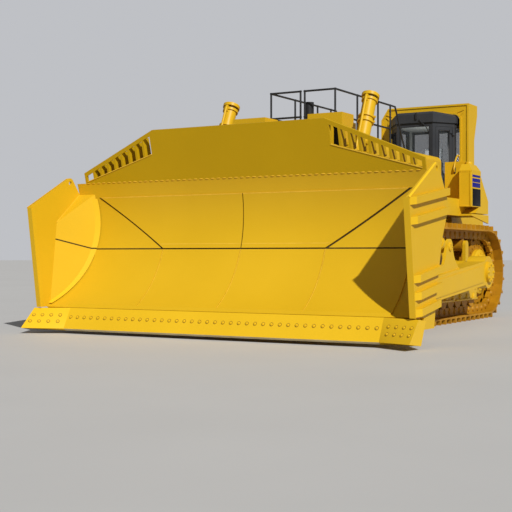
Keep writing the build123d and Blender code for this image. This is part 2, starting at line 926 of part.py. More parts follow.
with BuildPart() as liner_upper:
    liner_strip(liner_seam, liner_top)
    with BuildSketch(Plane(origin=(0, 0, 0), x_dir=(0, 1, 0), z_dir=(1, 0, 0))):
        for hand in (-1, 1):
            with BuildLine():
                Polyline(
                    (hand * liner_gap / 2, liner_seam),
                    (hand * liner_half_seam, liner_seam),
                    (hand * liner_half_top, liner_top),
                    (hand * liner_gap / 2, liner_top),
                    close=True,
                )
            make_face()
    extrude(amount=lip_x, mode=Mode.INTERSECT)

with BuildPart() as liner_plates:
    add(liner_lower.part)
    add(liner_upper.part)

# Cutting edge and end bits
bit_half = blade_half + end_plate + rib_depth + bit_overhang
edge_section = [
    edge_point(0, 0),
    edge_point(edge_length, 0),
    edge_point(edge_length, edge_plate),
    edge_point(0, edge_plate),
]

with BuildPart() as cutting_edge:
    slab(edge_section, -edge_half, edge_half)

with BuildPart() as end_bits:
    with BuildSketch(side(edge_half)):
        with BuildLine():
            Polyline(*edge_section, close=True)
        make_face()
    with BuildSketch(side(bit_half)):
        with BuildLine():
            Polyline((bit_corner_x, bit_corner_z), (bit_top_x, bit_top_z), *edge_section[2:], close=True)
        make_face()
    loft(ruled=True)
    mirror(about=Plane.XZ)

# End plates with an eye in the peak, five outer ribs and a bar along the front edge
end_outline = [
    (end_front_x, bit_top_z + end_gap),
    (end_nose_x, end_nose_z),
    (end_eye_x + end_eye_radius / 2, end_eye_z + end_eye_radius * sin(radians(60))),
    (end_eye_x - end_eye_radius * sin(radians(60)), end_eye_z + end_eye_radius / 2),
    (end_shoulder_x, end_shoulder_z),
    (end_waist_x, end_waist_z),
    (end_heel_x, end_heel_z),
    (end_foot_x, end_foot_z),
    (edge_point(edge_length, edge_plate + toe_plate)[0], end_foot_z),
    (edge_point(edge_length, edge_plate + toe_plate)[0], bit_top_z + end_gap),
]

with BuildPart() as end_plates:
    with BuildSketch(side(blade_half + end_plate)):
        with BuildLine():
            Polyline(*end_outline, close=True)
        make_face()
        with Locations((end_eye_x, end_eye_z)):
            Circle(end_eye_radius)
            Circle(end_eye_hole, mode=Mode.SUBTRACT)
    extrude(amount=end_plate)
    for rib_z, rib_length in zip(rib_starts, rib_lengths):
        front_share = (rib_z - end_front_z) / (end_nose_z - end_front_z)
        rib_x = end_front_x + front_share * (end_nose_x - end_front_x) - rib_height
        slab(
            [
                (rib_x, rib_z),
                (rib_x, rib_z + rib_height),
                (rib_x - rib_length, rib_z + rib_height + rib_rise * rib_length),
                (rib_x - rib_length, rib_z + rib_rise * rib_length),
            ],
            blade_half + end_plate,
            blade_half + end_plate + rib_depth,
        )
    slab(
        [
            (end_front_x, bit_top_z + end_gap),
            (end_nose_x, end_nose_z),
            (end_nose_x - end_bar_depth, end_nose_z),
            (end_front_x - end_bar_depth, bit_top_z + end_gap),
        ],
        blade_half - end_bar_inset,
        blade_half,
    )
    mirror(about=Plane.XZ)

# Blade back: lower and upper box beams, upright ribs, and ears for arms, lift rods and tilt rods
back_half = blade_half - back_inset


def back_section(bottom, top, rear_bottom_x, rear_top_x):
    # Face between the rolled plate's back and a straight rear line.
    with BuildLine() as outline:
        middle = (bottom + top) / 2
        ThreePointArc((mold_x(bottom, mold_back), bottom), (mold_x(middle, mold_back), middle),
                      (mold_x(top, mold_back), top))
        Polyline((mold_x(top, mold_back), top), (rear_top_x, top), (rear_bottom_x, bottom),
                 (mold_x(bottom, mold_back), bottom))
    make_face(outline.edges())


def ear(x, z, radius, foot_low, foot_high, y0, y1):
    # Ear plate round a cross pin, with its foot on the blade's back.
    with BuildSketch(side(max(y0, y1))) as outline:
        with BuildLine():
            Polyline((x, z + radius), foot_high, foot_low, (x, z - radius), close=True)
        make_face()
        with Locations((x, z)):
            Circle(radius)
    extrude(outline.sketch, amount=abs(y1 - y0))


lift_ear_in = lift_eye_half + clear_gap
arm_ear_in = arm_half + arm_ear_gap
arm_ear_out = arm_ear_in + arm_ear
lift_ear_out = lift_ear_in + lift_ear

with BuildPart() as blade_back:
    with BuildSketch(Plane.XZ):
        back_section(back_foot, back_low_top, back_low_x, back_low_x)
        back_section(back_high_bottom, back_high_top, back_high_x, back_high_x)
    extrude(amount=back_half, both=True)
    for rib_y in (*back_rib_ys, back_half - back_inset):
        with BuildSketch(side(rib_y + back_rib / 2)):
            back_section(back_low_top, back_high_bottom, back_low_x, back_high_x)
        extrude(amount=back_rib)
    for hand in (-1, 1):
        ear(lift_eye_x, lift_eye_z, lift_ear_radius, (back_low_x + ear_sink, back_foot + ear_sink),
            (mold_x(lift_ear_head_z, mold_back), lift_ear_head_z),
            lift_y + hand * lift_ear_in, lift_y + hand * lift_ear_out)
        bar(lift_eye_x, lift_eye_z, lift_y + hand * lift_ear_out,
            lift_y + hand * (lift_ear_out + lift_pin_head), lift_pin_head_radius)
        ear(tilt_eye_x, tilt_eye_z, tilt_ear_radius, (back_high_x + ear_sink, back_high_bottom + ear_sink),
            (back_high_x + ear_sink, back_high_top - ear_sink),
            arm_y + hand * tilt_ear_in, arm_y + hand * tilt_ear_out)
        bar(tilt_eye_x, tilt_eye_z, arm_y + hand * tilt_ear_out, arm_y + hand * (tilt_ear_out + tilt_head),
            tilt_head_radius)
        ear(blade_pin_x, blade_pin_z, ear_radius, (back_low_x + ear_sink, back_foot + ear_sink),
            (back_low_x + ear_sink, back_low_top - ear_sink),
            arm_y + hand * arm_ear_in, arm_y + hand * arm_ear_out)
    pin_reach = arm_ear_out + blade_pin_head
    bar(blade_pin_x, blade_pin_z, arm_y - pin_reach, arm_y + pin_reach, blade_pin_radius)
    mirror(about=Plane.XZ)

# Spill guard: leaning plate over the blade, with slatted windows at both ends
spill_plane = Plane(
    origin=(mold_face_top[0], 0, mold_top),
    x_dir=(0, 1, 0),
    z_dir=(cos(radians(spill_lean)), 0, -sin(radians(spill_lean))),
)


def up_guard(z):
    # Distance up the guard's plate for a height above ground.
    return (z - mold_top) / cos(radians(spill_lean))


def guard_rim(y):
    # Height above ground of the guard's sloping rim.
    return spill_top_z - (y - spill_top_half) * (spill_top_z - spill_end_z) / (spill_half - spill_top_half)


def slot_sill(y):
    # Height above ground of the lower edge of the slatted window.
    share = (y - slot_inner_y) / (slot_outer_y - slot_inner_y)
    return slot_low_inner + share * (slot_low_outer - slot_low_inner)


slat_step = (slot_outer_y - slot_inner_y) / (slat_count + 1)

with BuildPart(spill_plane) as spill_guard:
    with BuildSketch(spill_plane):
        with BuildLine():
            Polyline(
                (-spill_half, -spill_plate),
                (spill_half, -spill_plate),
                (spill_half, up_guard(spill_end_z)),
                (spill_top_half, up_guard(spill_top_z)),
                (-spill_top_half, up_guard(spill_top_z)),
                (-spill_half, up_guard(spill_end_z)),
                close=True,
            )
        make_face()
        for hand in (-1, 1):
            with BuildLine():
                Polyline(
                    (hand * slot_inner_y, up_guard(slot_low_inner)),
                    (hand * slot_outer_y, up_guard(slot_low_outer)),
                    (hand * slot_outer_y, up_guard(guard_rim(slot_outer_y) - spill_bar)),
                    (hand * slot_inner_y, up_guard(guard_rim(slot_inner_y) - spill_bar)),
                    close=True,
                )
            make_face(mode=Mode.SUBTRACT)
    extrude(amount=-spill_plate)
    for hand in (-1, 1):
        for slat in range(slat_count):
            slat_y = slot_inner_y + (slat + 1) * slat_step
            low = up_guard(slot_sill(slat_y)) - slat_sink
            high = up_guard(guard_rim(slat_y) - spill_bar) + slat_sink
            with Locations((hand * slat_y, (low + high) / 2, -slat_depth / 2)):
                Box(slat_plate, high - low, slat_depth)
    split(bisect_by=Plane.XY.offset(mold_top), keep=Keep.TOP)

# Hull: rear case, front rails with a shelf for the side panels, belly plate, nose,
# pivot shaft and equalizer bar
with BuildPart() as main_frame:
    block(case_rear_x, case_front_x, -case_half, case_half, case_bottom, case_top)
    for hand in (-1, 1):
        block(case_front_x, guard_rear_x, hand * rail_inner_y, hand * rail_outer, rail_bottom, rail_top)
        block(case_front_x, guard_rear_x, hand * rail_inner_y, hand * hood_half,
              rail_top - shelf_plate, rail_top)
    block(case_front_x, hull_front_x, -rail_outer, rail_outer, rail_bottom - belly_plate, rail_bottom)
    block(guard_rear_x, hull_front_x, -rail_outer, rail_outer, rail_bottom, guard_base)
    bar(pivot_x, pivot_z, beam_half - track_y, track_y - beam_half, pivot_radius)
    block(equalizer_x - equalizer_half, equalizer_x + equalizer_half, -equalizer_reach, equalizer_reach,
          beam_top, beam_top + equalizer_height)

with BuildPart() as engine:
    block(engine_rear_x, engine_front_x, -engine_half, engine_half, engine_bottom, engine_top)

# Radiator guard with crown boxes, an upright-bar grille and the core behind it
bar_pitch = 2 * (guard_half - guard_wall) / (grille_bars + 1)

with BuildPart() as radiator_guard:
    block(guard_rear_x, guard_front_x, -guard_half, guard_half, guard_base, guard_top)
    block(guard_rear_x + guard_wall, guard_front_x, guard_wall - guard_half, guard_half - guard_wall,
          guard_base + guard_wall, guard_top - guard_wall, Mode.SUBTRACT)
    for index in range(grille_bars):
        bar_y = guard_wall - guard_half + (index + 1) * bar_pitch
        block(guard_front_x - grille_depth, guard_front_x, bar_y - grille_bar / 2, bar_y + grille_bar / 2,
              guard_base + guard_wall, guard_top - guard_wall)
    for hand in (-1, 1):
        block(crown_rear_x, guard_front_x, hand * crown_inner, hand * guard_half, guard_top, crown_top)

with BuildPart() as radiator_core:
    block(core_rear_x, core_front_x, guard_wall - guard_half, guard_half - guard_wall,
          guard_base + guard_wall, guard_top - guard_wall)

# Hood: rounded top sheet with a rear wall, and louvred side panels
def hood_section(rear_x, half, top, corner, mode=Mode.ADD):
    # Hood's outline from the shoulder up, as a solid from this X to the radiator guard.
    with BuildSketch(Plane.YZ.offset(rear_x)) as section:
        with Locations((0, (hood_shoulder + top) / 2)):
            Rectangle(2 * half, top - hood_shoulder)
        fillet(section.vertices().group_by(Axis.Y)[-1], corner)
    extrude(section.sketch, amount=guard_rear_x - rear_x, mode=mode)


with BuildPart() as hood_top_panel:
    inner_half = hood_half - hood_sheet
    wall_x = hood_rear_x + hood_sheet
    hood_section(hood_rear_x, hood_half, hood_top, hood_corner)
    hood_section(wall_x, inner_half, hood_top - hood_sheet, hood_corner - hood_sheet, Mode.SUBTRACT)
    block(hood_rear_x, wall_x, -inner_half, inner_half, case_top, hood_shoulder)

louvre_z = hood_shoulder - louvre_drop

with BuildPart() as engine_side_panels:
    slab(
        [
            (hood_rear_x, hood_shoulder),
            (guard_rear_x, hood_shoulder),
            (guard_rear_x, rail_top),
            (case_front_x, rail_top),
            (case_front_x, case_top),
            (hood_rear_x, case_top),
        ],
        hood_half - hood_sheet,
        hood_half,
    )
    with BuildSketch(side(hood_half)):
        with Locations(((hood_rear_x + guard_rear_x) / 2, louvre_z)):
            with GridLocations(louvre_pitch_x, louvre_pitch_z, louvre_columns, louvre_rows):
                Rectangle(louvre_width, louvre_height)
    extrude(amount=hood_sheet, mode=Mode.SUBTRACT)
    mirror(about=Plane.XZ)

with BuildPart() as exhaust_stack:
    with Locations((stack_x, 0, hood_top)):
        Cylinder(stack_radius, stack_top - hood_top, align=upward)
        Cylinder(stack_radius - stack_wall, stack_top - hood_top, align=upward, mode=Mode.SUBTRACT)

# Handrails round the hood's walkway, open at the middle of the front and sloping down at the rear
rail_y = hood_half - hood_corner - rail_inset
rail_front_x = guard_rear_x - rail_front_inset
rail_foot_x = rail_rear_x - rail_stay_run


def tube(start, end):
    # Round tube of the handrails between two points.
    run = Vector(*end) - Vector(*start)
    with Locations(Plane(origin=start, z_dir=run)):
        Cylinder(rail_tube, run.length, align=upward)


with BuildPart() as handrails:
    for post_x in (rail_front_x, *rail_posts_x):
        tube((post_x, rail_y, hood_top), (post_x, rail_y, hood_top + rail_height))
    tube((rail_front_x, rail_gate / 2, hood_top), (rail_front_x, rail_gate / 2, hood_top + rail_height))
    for level in (hood_top + rail_middle, hood_top + rail_height - rail_tube):
        tube((rail_front_x, rail_gate / 2 - rail_tube, level), (rail_front_x, rail_y + rail_tube, level))
        rail_end_x = rail_rear_x if level > hood_top + rail_middle else rail_posts_x[-1]
        tube((rail_end_x, rail_y, level), (rail_front_x + rail_tube, rail_y, level))
    tube((rail_foot_x, rail_y, hood_top), (rail_rear_x, rail_y, hood_top + rail_height - rail_tube))
    split(bisect_by=Plane.XY.offset(hood_top), keep=Keep.TOP)
    mirror(about=Plane.XZ)

# Deck under the cab, fenders over the tracks with an upright side, and tanks that overhang them
with BuildPart() as deck:
    block(cab_rear_x, hood_rear_x, -deck_half, deck_half, case_top, deck_top)

with BuildPart() as fenders:
    fender_bottom = fender_top - fender_plate
    block(fender_rear_x, hood_rear_x, deck_half, fender_half, fender_bottom, fender_top)
    block(hood_rear_x, tank_front_x, hood_half, fender_half, fender_bottom, fender_top)
    block(tank_front_x, fender_front_x, hood_half, tank_step_y, fender_bottom, fender_top)
    block(tank_front_x, fender_front_x, tank_step_y - skirt_plate, tank_step_y, fender_top, fascia_top)
    slab(
        [
            (tank_front_x, fender_bottom),
            (fender_rear_x, fender_bottom),
            (fender_rear_x, skirt_rear_z),
        ],
        fender_half - skirt_plate,
        fender_half,
    )
    mirror(about=Plane.XZ)

with BuildPart() as tank_left:
    slab(
        [
            (tank_front_x, tank_bottom),
            (tank_front_x, tank_shoulder),
            (tank_brow_x, tank_top),
            (tank_rear_high_x, tank_top),
            (tank_rear_high_x, tank_rear_high_z),
            (tank_rear_low_x, tank_rear_low_z),
            (tank_rear_low_x, fender_top + tank_heel_gap),
            (tank_heel_front_x, fender_top + tank_heel_gap),
            (tank_heel_x, tank_bottom),
        ],
        tank_step_y,
        fender_half,
    )
    split(
        bisect_by=Plane(
            origin=(0, fender_half, tank_shoulder),
            x_dir=(1, 0, 0),
            z_dir=(0, tank_top - tank_shoulder, fender_half - tank_crown_half),
        ),
        keep=Keep.BOTTOM,
    )
    block(tank_rear_low_x, tank_front_x, tank_base_y, tank_step_y, fender_top, tank_rear_low_z)
    block(tank_rear_high_x, tank_step_x, deck_half, tank_step_y, fender_top, tank_step_top)

with BuildPart() as tank_right:
    mirror(tank_left.part, about=Plane.XZ)

# Cab: walls with six sides in plan, windows and door openings cut
door_corner = Vector(cab_front_x, cab_front_half, 0)
door_run = Vector(cab_side_x - cab_front_x, cab_half - cab_front_half, 0)
door_along = door_run.normalized()
door_out = Vector(door_along.Y, -door_along.X, 0)
door_plane = Plane(origin=door_corner, x_dir=door_along, z_dir=door_out)
door_start = pillar_width
door_end = door_run.length - door_edge
door_bottom = deck_top + door_sill
door_top = cab_eave - head_rail
cab_plan = [
    (cab_front_x, -cab_front_half),
    (cab_front_x, cab_front_half),
    (cab_side_x, cab_half),
    (cab_rear_x, cab_half),
    (cab_rear_x, -cab_half),
    (cab_side_x, -cab_half),
]


def cab_face():
    # Face of the cab's outline in plan.
    with BuildLine() as outline:
        Polyline(*cab_plan, close=True)
    make_face(outline.edges())


def panel(x0, x1, z0, z1, out0, out1, mode=Mode.ADD):
    # Flat panel along the left door's face: from the front corner, above ground, and outwards from the face.
    with BuildSketch(door_plane.offset(out0)) as outline:
        with Locations(((x0 + x1) / 2, (z0 + z1) / 2)):
            Rectangle(x1 - x0, z1 - z0)
    extrude(outline.sketch, amount=out1 - out0, mode=mode)


hinge_at = door_plane.from_local_coords(Vector(door_end, 0, hinge_out))
side_window_front = cab_side_x - pillar_width
side_window_rear = cab_rear_x + cab_wall + pillar_width
front_window_half = cab_front_half - pillar_width
rear_window_half = cab_half - cab_wall - pillar_width
window_top = cab_eave - head_rail

with BuildPart() as cab_frame:
    with BuildSketch(Plane.XY.offset(deck_top)):
        cab_face()
        offset(amount=-cab_wall, mode=Mode.SUBTRACT)
    extrude(amount=cab_eave - deck_top)
    block(cab_front_x - cab_wall, cab_front_x, -front_window_half, front_window_half, sill_front, window_top,
          Mode.SUBTRACT)
    block(cab_rear_x, cab_rear_x + cab_wall, -rear_window_half, rear_window_half, sill_side, window_top,
          Mode.SUBTRACT)
    block(side_window_rear, side_window_front, -cab_half, cab_half, sill_side, window_top, Mode.SUBTRACT)
    panel(door_start, door_end, door_bottom, door_top, -2 * cab_wall, cab_wall, Mode.SUBTRACT)
    for level in hinge_levels:
        with Locations((hinge_at.X, hinge_at.Y, level)):
            Cylinder(hinge_pin_radius, hinge_height + hinge_foot_height, align=upward)
            Cylinder(hinge_knuckle_radius, hinge_foot_height - running_gap, align=upward)
        panel(door_end, door_run.length, level, level + hinge_foot_height - running_gap,
              -running_gap, hinge_out)
    split(bisect_by=Plane.XZ, keep=Keep.BOTTOM)
    mirror(about=Plane.XZ)

with BuildPart() as cab_roof:
    with BuildSketch(Plane.XY.offset(cab_eave)):
        cab_face()
        offset(amount=roof_overhang, kind=Kind.INTERSECTION)
    extrude(amount=roof_front_top - cab_eave + roof_overhang)
    slope = (roof_front_top - roof_rear_top) / (cab_front_x - cab_rear_x)
    split(
        bisect_by=Plane(origin=(cab_front_x, 0, roof_front_top), x_dir=(0, 1, 0), z_dir=(-slope, 0, 1)),
        keep=Keep.BOTTOM,
    )
    chamfer(cab_roof.faces().sort_by(Axis.Z)[-1].edges(), roof_chamfer)

with BuildPart() as cab_glass:
    front_mid = cab_front_x - cab_wall / 2
    rear_mid = cab_rear_x + cab_wall / 2
    side_mid = cab_half - cab_wall / 2
    block(front_mid - glass_sheet / 2, front_mid + glass_sheet / 2, -front_window_half, front_window_half,
          sill_front, window_top)
    block(rear_mid - glass_sheet / 2, rear_mid + glass_sheet / 2, -rear_window_half, rear_window_half,
          sill_side, window_top)
    for hand in (-1, 1):
        block(side_window_rear, side_window_front, hand * (side_mid - glass_sheet / 2),
              hand * (side_mid + glass_sheet / 2), sill_side, window_top)

# Doors on the slanted faces, hung at their rear edges
door_x0 = door_start + door_gap
door_x1 = door_end - door_gap
door_z0 = door_bottom + door_gap
door_z1 = door_top - door_gap

with BuildPart() as door_left:
    panel(door_x0, door_x1, door_z0, door_z1, -cab_wall, 0)
    panel(door_x0 + door_frame, door_x1 - door_frame, door_z0 + door_frame, door_z1 - door_frame,
          -cab_wall, 0, Mode.SUBTRACT)
    for level in hinge_levels:
        knuckle_z = level + hinge_foot_height
        with Locations((hinge_at.X, hinge_at.Y, knuckle_z)):
            Cylinder(hinge_knuckle_radius, hinge_height, align=upward)
        panel(door_x1 - door_frame, door_end, knuckle_z, knuckle_z + hinge_height, 0, hinge_out)
        with Locations((hinge_at.X, hinge_at.Y, knuckle_z)):
            Cylinder(hinge_pin_radius + running_gap, hinge_height, align=upward, mode=Mode.SUBTRACT)

with BuildPart() as door_left_glass:
    door_mid = -cab_wall / 2
    panel(door_x0 + door_frame, door_x1 - door_frame, door_z0 + door_frame, door_z1 - door_frame,
          door_mid - glass_sheet / 2, door_mid + glass_sheet / 2)

with BuildPart() as door_right:
    mirror(door_left.part, about=Plane.XZ)

with BuildPart() as door_right_glass:
    mirror(door_left_glass.part, about=Plane.XZ)

# Roll-over frame: portal over the cab with deep heads, its right top corner cut off and its front face
# sunk inside a raised border
rops_rear_x = rops_front_x - rops_head_depth

with BuildSketch() as gate:
    with Locations((0, (deck_top + rops_beam_bottom) / 2)):
        Rectangle(2 * (rops_half - rops_leg), rops_beam_bottom - deck_top)
    fillet(gate.vertices().group_by(Axis.Y)[-1], rops_inner_radius)

with BuildSketch() as portal:
    with BuildLine():
        Polyline(
            (-rops_half, deck_top),
            (-rops_half, rops_top - rops_cut_z),
            (rops_cut_y - rops_half, rops_top),
            (rops_half, rops_top),
            (rops_half, deck_top),
            close=True,
        )
    make_face()
    add(gate.sketch, mode=Mode.SUBTRACT)

with BuildPart() as rops:
    with BuildSketch(Plane.YZ.offset(rops_rear_x)):
        add(portal.sketch)
    extrude(amount=rops_head_depth)
    with BuildSketch(Plane.YZ.offset(rops_front_x)):
        add(portal.sketch)
        offset(amount=-rops_border, mode=Mode.REPLACE)
    extrude(amount=-rops_recess, mode=Mode.SUBTRACT)
    slab(
        [
            (rops_rear_x, deck_top),
            (rops_front_x - rops_leg_depth, deck_top),
            (rops_front_x - rops_leg_depth, rops_taper_z),
            (rops_rear_x, rops_beam_bottom),
        ],
        -rops_half,
        rops_half,
        Mode.SUBTRACT,
    )

# Seat and consoles
seat_rear_x = seat_x - cushion_depth / 2
seat_front_x = seat_x + cushion_depth / 2

with BuildPart() as cushion:
    block(seat_rear_x, seat_front_x, -seat_half, seat_half, seat_base_top, cushion_top)
    fillet(cushion.edges().filter_by(Axis.Y), cushion_round)

with BuildPart() as backrest:
    slab(
        [
            (seat_rear_x, seat_base_top),
            (seat_rear_x + seat_back_depth, seat_base_top),
            (seat_rear_x + seat_back_depth - seat_recline, seat_back_top),
            (seat_rear_x - seat_recline, seat_back_top),
        ],
        -seat_half,
        seat_half,
    )
    fillet(backrest.edges().group_by(Axis.Z)[-1].filter_by(Axis.Y), cushion_round)

with BuildPart() as seat:
    block(seat_rear_x + cushion_round, seat_front_x - cushion_round, -seat_base_half, seat_base_half,
          deck_top, seat_base_top)
    add(cushion.part)
    add(backrest.part)

with BuildPart() as consoles:
    slab(
        [
            (console_rear_x, deck_top),
            (console_rear_x, console_top),
            (console_front_x - console_slope, console_top),
            (console_front_x, console_top - console_slope),
            (console_front_x, deck_top),
        ],
        console_inner,
        console_outer,
    )
    mirror(about=Plane.XZ)

# Counterweight with the drawbar below it
drawbar_rear_x = case_rear_x - drawbar_length

with BuildPart() as counterweight:
    block(weight_rear_x, case_rear_x, -weight_half, weight_half, weight_bottom, case_top)
    chamfer(counterweight.edges().filter_by(Axis.Z).group_by(Axis.X)[0], weight_chamfer)

with BuildPart() as drawbar:
    block(drawbar_rear_x, case_rear_x, -drawbar_half, drawbar_half, drawbar_bottom, weight_bottom)
    with Locations((drawbar_rear_x + drawbar_pin_inset, 0, weight_bottom)):
        Hole(drawbar_pin_radius)

pieces = {
    "track_left": track_left,
    "track_right": track_right,
    "sprockets": sprockets,
    "final_drives": final_drives,
    "idlers": idlers,
    "track_rollers": track_rollers,
    "track_frame_left": track_frame_left,
    "track_frame_right": track_frame_right,
    "push_arm_left": push_arm_left,
    "push_arm_right": push_arm_right,
    "tilt_barrel_left": tilt_barrel_left,
    "tilt_barrel_right": tilt_barrel_right,
    "tilt_rod_left": tilt_rod_left,
    "tilt_rod_right": tilt_rod_right,
    "lift_barrel_left": lift_barrel_left,
    "lift_barrel_right": lift_barrel_right,
    "lift_rod_left": lift_rod_left,
    "lift_rod_right": lift_rod_right,
    "lift_yokes": lift_yokes,
    "moldboard": moldboard,
    "liner_plates": liner_plates,
    "cutting_edge": cutting_edge,
    "end_bits": end_bits,
    "end_plates": end_plates,
    "blade_back": blade_back,
    "spill_guard": spill_guard,
    "main_frame": main_frame,
    "engine": engine,
    "radiator_guard": radiator_guard,
    "radiator_core": radiator_core,
    "hood_top": hood_top_panel,
    "engine_side_panels": engine_side_panels,
    "exhaust_stack": exhaust_stack,
    "handrails": handrails,
    "deck": deck,
    "fenders": fenders,
    "tank_left": tank_left,
    "tank_right": tank_right,
    "cab_frame": cab_frame,
    "cab_roof": cab_roof,
    "cab_glass": cab_glass,
    "door_left": door_left,
    "door_left_glass": door_left_glass,
    "door_right": door_right,
    "door_right_glass": door_right_glass,
    "rops": rops,
    "seat": seat,
    "consoles": consoles,
    "counterweight": counterweight,
    "drawbar": drawbar,
}

for name, piece in pieces.items():
    piece.part.label = name
    export_step(piece.part, f"parts/{name}.step")
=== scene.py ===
from math import asin, cos, pi, radians, sin

import bmesh
import bpy
from mathutils import Matrix, Vector


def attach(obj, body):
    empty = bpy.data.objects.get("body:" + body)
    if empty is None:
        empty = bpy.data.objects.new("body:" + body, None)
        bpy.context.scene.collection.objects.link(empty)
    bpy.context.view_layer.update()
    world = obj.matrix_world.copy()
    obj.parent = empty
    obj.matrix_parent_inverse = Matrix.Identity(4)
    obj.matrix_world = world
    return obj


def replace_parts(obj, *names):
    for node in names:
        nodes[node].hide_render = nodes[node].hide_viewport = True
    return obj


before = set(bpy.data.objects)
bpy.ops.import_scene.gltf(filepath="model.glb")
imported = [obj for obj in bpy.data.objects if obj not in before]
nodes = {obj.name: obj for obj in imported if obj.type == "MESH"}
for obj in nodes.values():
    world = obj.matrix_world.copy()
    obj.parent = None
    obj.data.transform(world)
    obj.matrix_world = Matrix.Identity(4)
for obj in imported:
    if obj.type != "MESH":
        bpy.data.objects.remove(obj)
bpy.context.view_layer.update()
print("frame loaded:", len(nodes), "nodes")


# node helpers for the finishes

def freshMaterial(name):
    material = bpy.data.materials.new(name)
    material.use_nodes = True
    parts, wires = material.node_tree.nodes, material.node_tree.links
    coords = parts.new("ShaderNodeTexCoord").outputs["Object"]
    return material, parts, wires, parts["Principled BSDF"], coords


def noiseOn(parts, wires, coords, scale, detail, roughness=0.55):
    noise = parts.new("ShaderNodeTexNoise")
    noise.inputs["Scale"].default_value = scale
    noise.inputs["Detail"].default_value = detail
    noise.inputs["Roughness"].default_value = roughness
    wires.new(coords, noise.inputs["Vector"])
    return noise.outputs["Fac"]


def rampOn(parts, wires, factor, stops):
    ramp = parts.new("ShaderNodeValToRGB")
    ramp.color_ramp.elements[0].position = stops[0][0]
    ramp.color_ramp.elements[0].color = (*stops[0][1], 1)
    ramp.color_ramp.elements[1].position = stops[-1][0]
    ramp.color_ramp.elements[1].color = (*stops[-1][1], 1)
    for position, colour in stops[1:-1]:
        ramp.color_ramp.elements.new(position).color = (*colour, 1)
    wires.new(factor, ramp.inputs["Fac"])
    return ramp.outputs["Color"]


def spreadOn(parts, wires, factor, low, high):
    spread = parts.new("ShaderNodeMapRange")
    spread.inputs["To Min"].default_value = low
    spread.inputs["To Max"].default_value = high
    wires.new(factor, spread.inputs["Value"])
    return spread.outputs["Result"]


def bumpOn(parts, wires, height, strength, distance):
    bump = parts.new("ShaderNodeBump")
    bump.inputs["Strength"].default_value = strength
    bump.inputs["Distance"].default_value = distance
    wires.new(height, bump.inputs["Height"])
    wires.new(bump.outputs["Normal"], parts["Principled BSDF"].inputs["Normal"])


# finishes: each look is a dictionary, and one function lays it on

def coatedMetal(name, look):
    material, parts, wires, shader, coords = freshMaterial(name)
    broad = noiseOn(parts, wires, coords, look["patches"], 5)
    colour = rampOn(parts, wires, broad, list(zip((0.3, 0.52, 0.75), look["tones"])))
    wires.new(colour, shader.inputs["Base Color"])
    mottle = noiseOn(parts, wires, coords, look["mottle"], 6)
    wires.new(spreadOn(parts, wires, mottle, *look["roughness"]), shader.inputs["Roughness"])
    grainScale, strength, depth = look["grain"]
    bumpOn(parts, wires, noiseOn(parts, wires, coords, grainScale, 3), strength, depth)
    shader.inputs["Metallic"].default_value = look.get("metal", 0)
    shader.inputs["Specular IOR Level"].default_value = look.get("gloss", 0.25)
    return material


machineYellow = coatedMetal("machineYellow", {
    "tones": ((0.597, 0.353, 0.008), (0.625, 0.374, 0.009), (0.653, 0.395, 0.011)),
    "patches": 0.55, "mottle": 2.2, "roughness": (0.34, 0.48), "grain": (70, 0.06, 0.002),
})
bladeYellow = coatedMetal("bladeYellow", {
    "tones": ((0.6, 0.36, 0.009), (0.63, 0.38, 0.01), (0.66, 0.4, 0.012)),
    "patches": 0.4, "mottle": 1.3, "roughness": (0.36, 0.5), "grain": (26, 0.07, 0.003), "gloss": 0.22,
})
# lighter copy of the blade paint, a painted highlight: used on the cutting edge, end bits, edge bolts, wing fillets and
# end plate top edges
edgeHighlightYellow = coatedMetal("edgeHighlightYellow", {
    "tones": ((0.69, 0.42, 0.011), (0.72, 0.44, 0.012), (0.75, 0.46, 0.014)),
    "patches": 0.6, "mottle": 1.6, "roughness": (0.36, 0.5), "grain": (30, 0.08, 0.003), "gloss": 0.22,
})
# darker copy of the yellow paint: painted shade over the whole spill guard
guardShadeYellow = coatedMetal("guardShadeYellow", {
    "tones": ((0.455, 0.277, 0.004), (0.475, 0.29, 0.004), (0.498, 0.305, 0.005)),
    "patches": 0.4, "mottle": 1.3, "roughness": (0.4, 0.55), "grain": (26, 0.06, 0.003), "gloss": 0.1,
})
trackOrange = coatedMetal("trackOrange", {
    "tones": ((0.3, 0.13, 0.003), (0.39, 0.18, 0.004), (0.46, 0.22, 0.006)),
    "patches": 2.1, "mottle": 5, "roughness": (0.4, 0.58), "grain": (45, 0.14, 0.004),
})
cabCharcoal = coatedMetal("cabCharcoal", {
    "tones": ((0.028, 0.03, 0.034), (0.034, 0.036, 0.04), (0.042, 0.044, 0.048)),
    "patches": 1.6, "mottle": 4, "roughness": (0.36, 0.5), "grain": (120, 0.07, 0.001), "gloss": 0.22,
})
darkSteel = coatedMetal("darkSteel", {
    "tones": ((0.02, 0.02, 0.022), (0.028, 0.029, 0.031), (0.045, 0.045, 0.047)),
    "patches": 3, "mottle": 8, "roughness": (0.42, 0.62), "grain": (160, 0.1, 0.001), "metal": 0.3,
})
rodSteel = coatedMetal("rodSteel", {
    "tones": ((0.66, 0.67, 0.68), (0.72, 0.73, 0.74), (0.78, 0.79, 0.8)),
    "patches": 3, "mottle": 9, "roughness": (0.12, 0.22), "grain": (220, 0.03, 0.0005), "metal": 1,
})
barBlue = coatedMetal("barBlue", {
    "tones": ((0.005, 0.005, 0.175), (0.006, 0.006, 0.2), (0.008, 0.008, 0.22)),
    "patches": 6, "mottle": 9, "roughness": (0.36, 0.46), "grain": (180, 0.03, 0.0005),
})
panelBlack = coatedMetal("panelBlack", {
    "tones": ((0.005, 0.005, 0.007), (0.006, 0.006, 0.008), (0.008, 0.008, 0.01)),
    "patches": 5, "mottle": 9, "roughness": (0.34, 0.46), "grain": (180, 0.03, 0.0005), "gloss": 0.1,
})
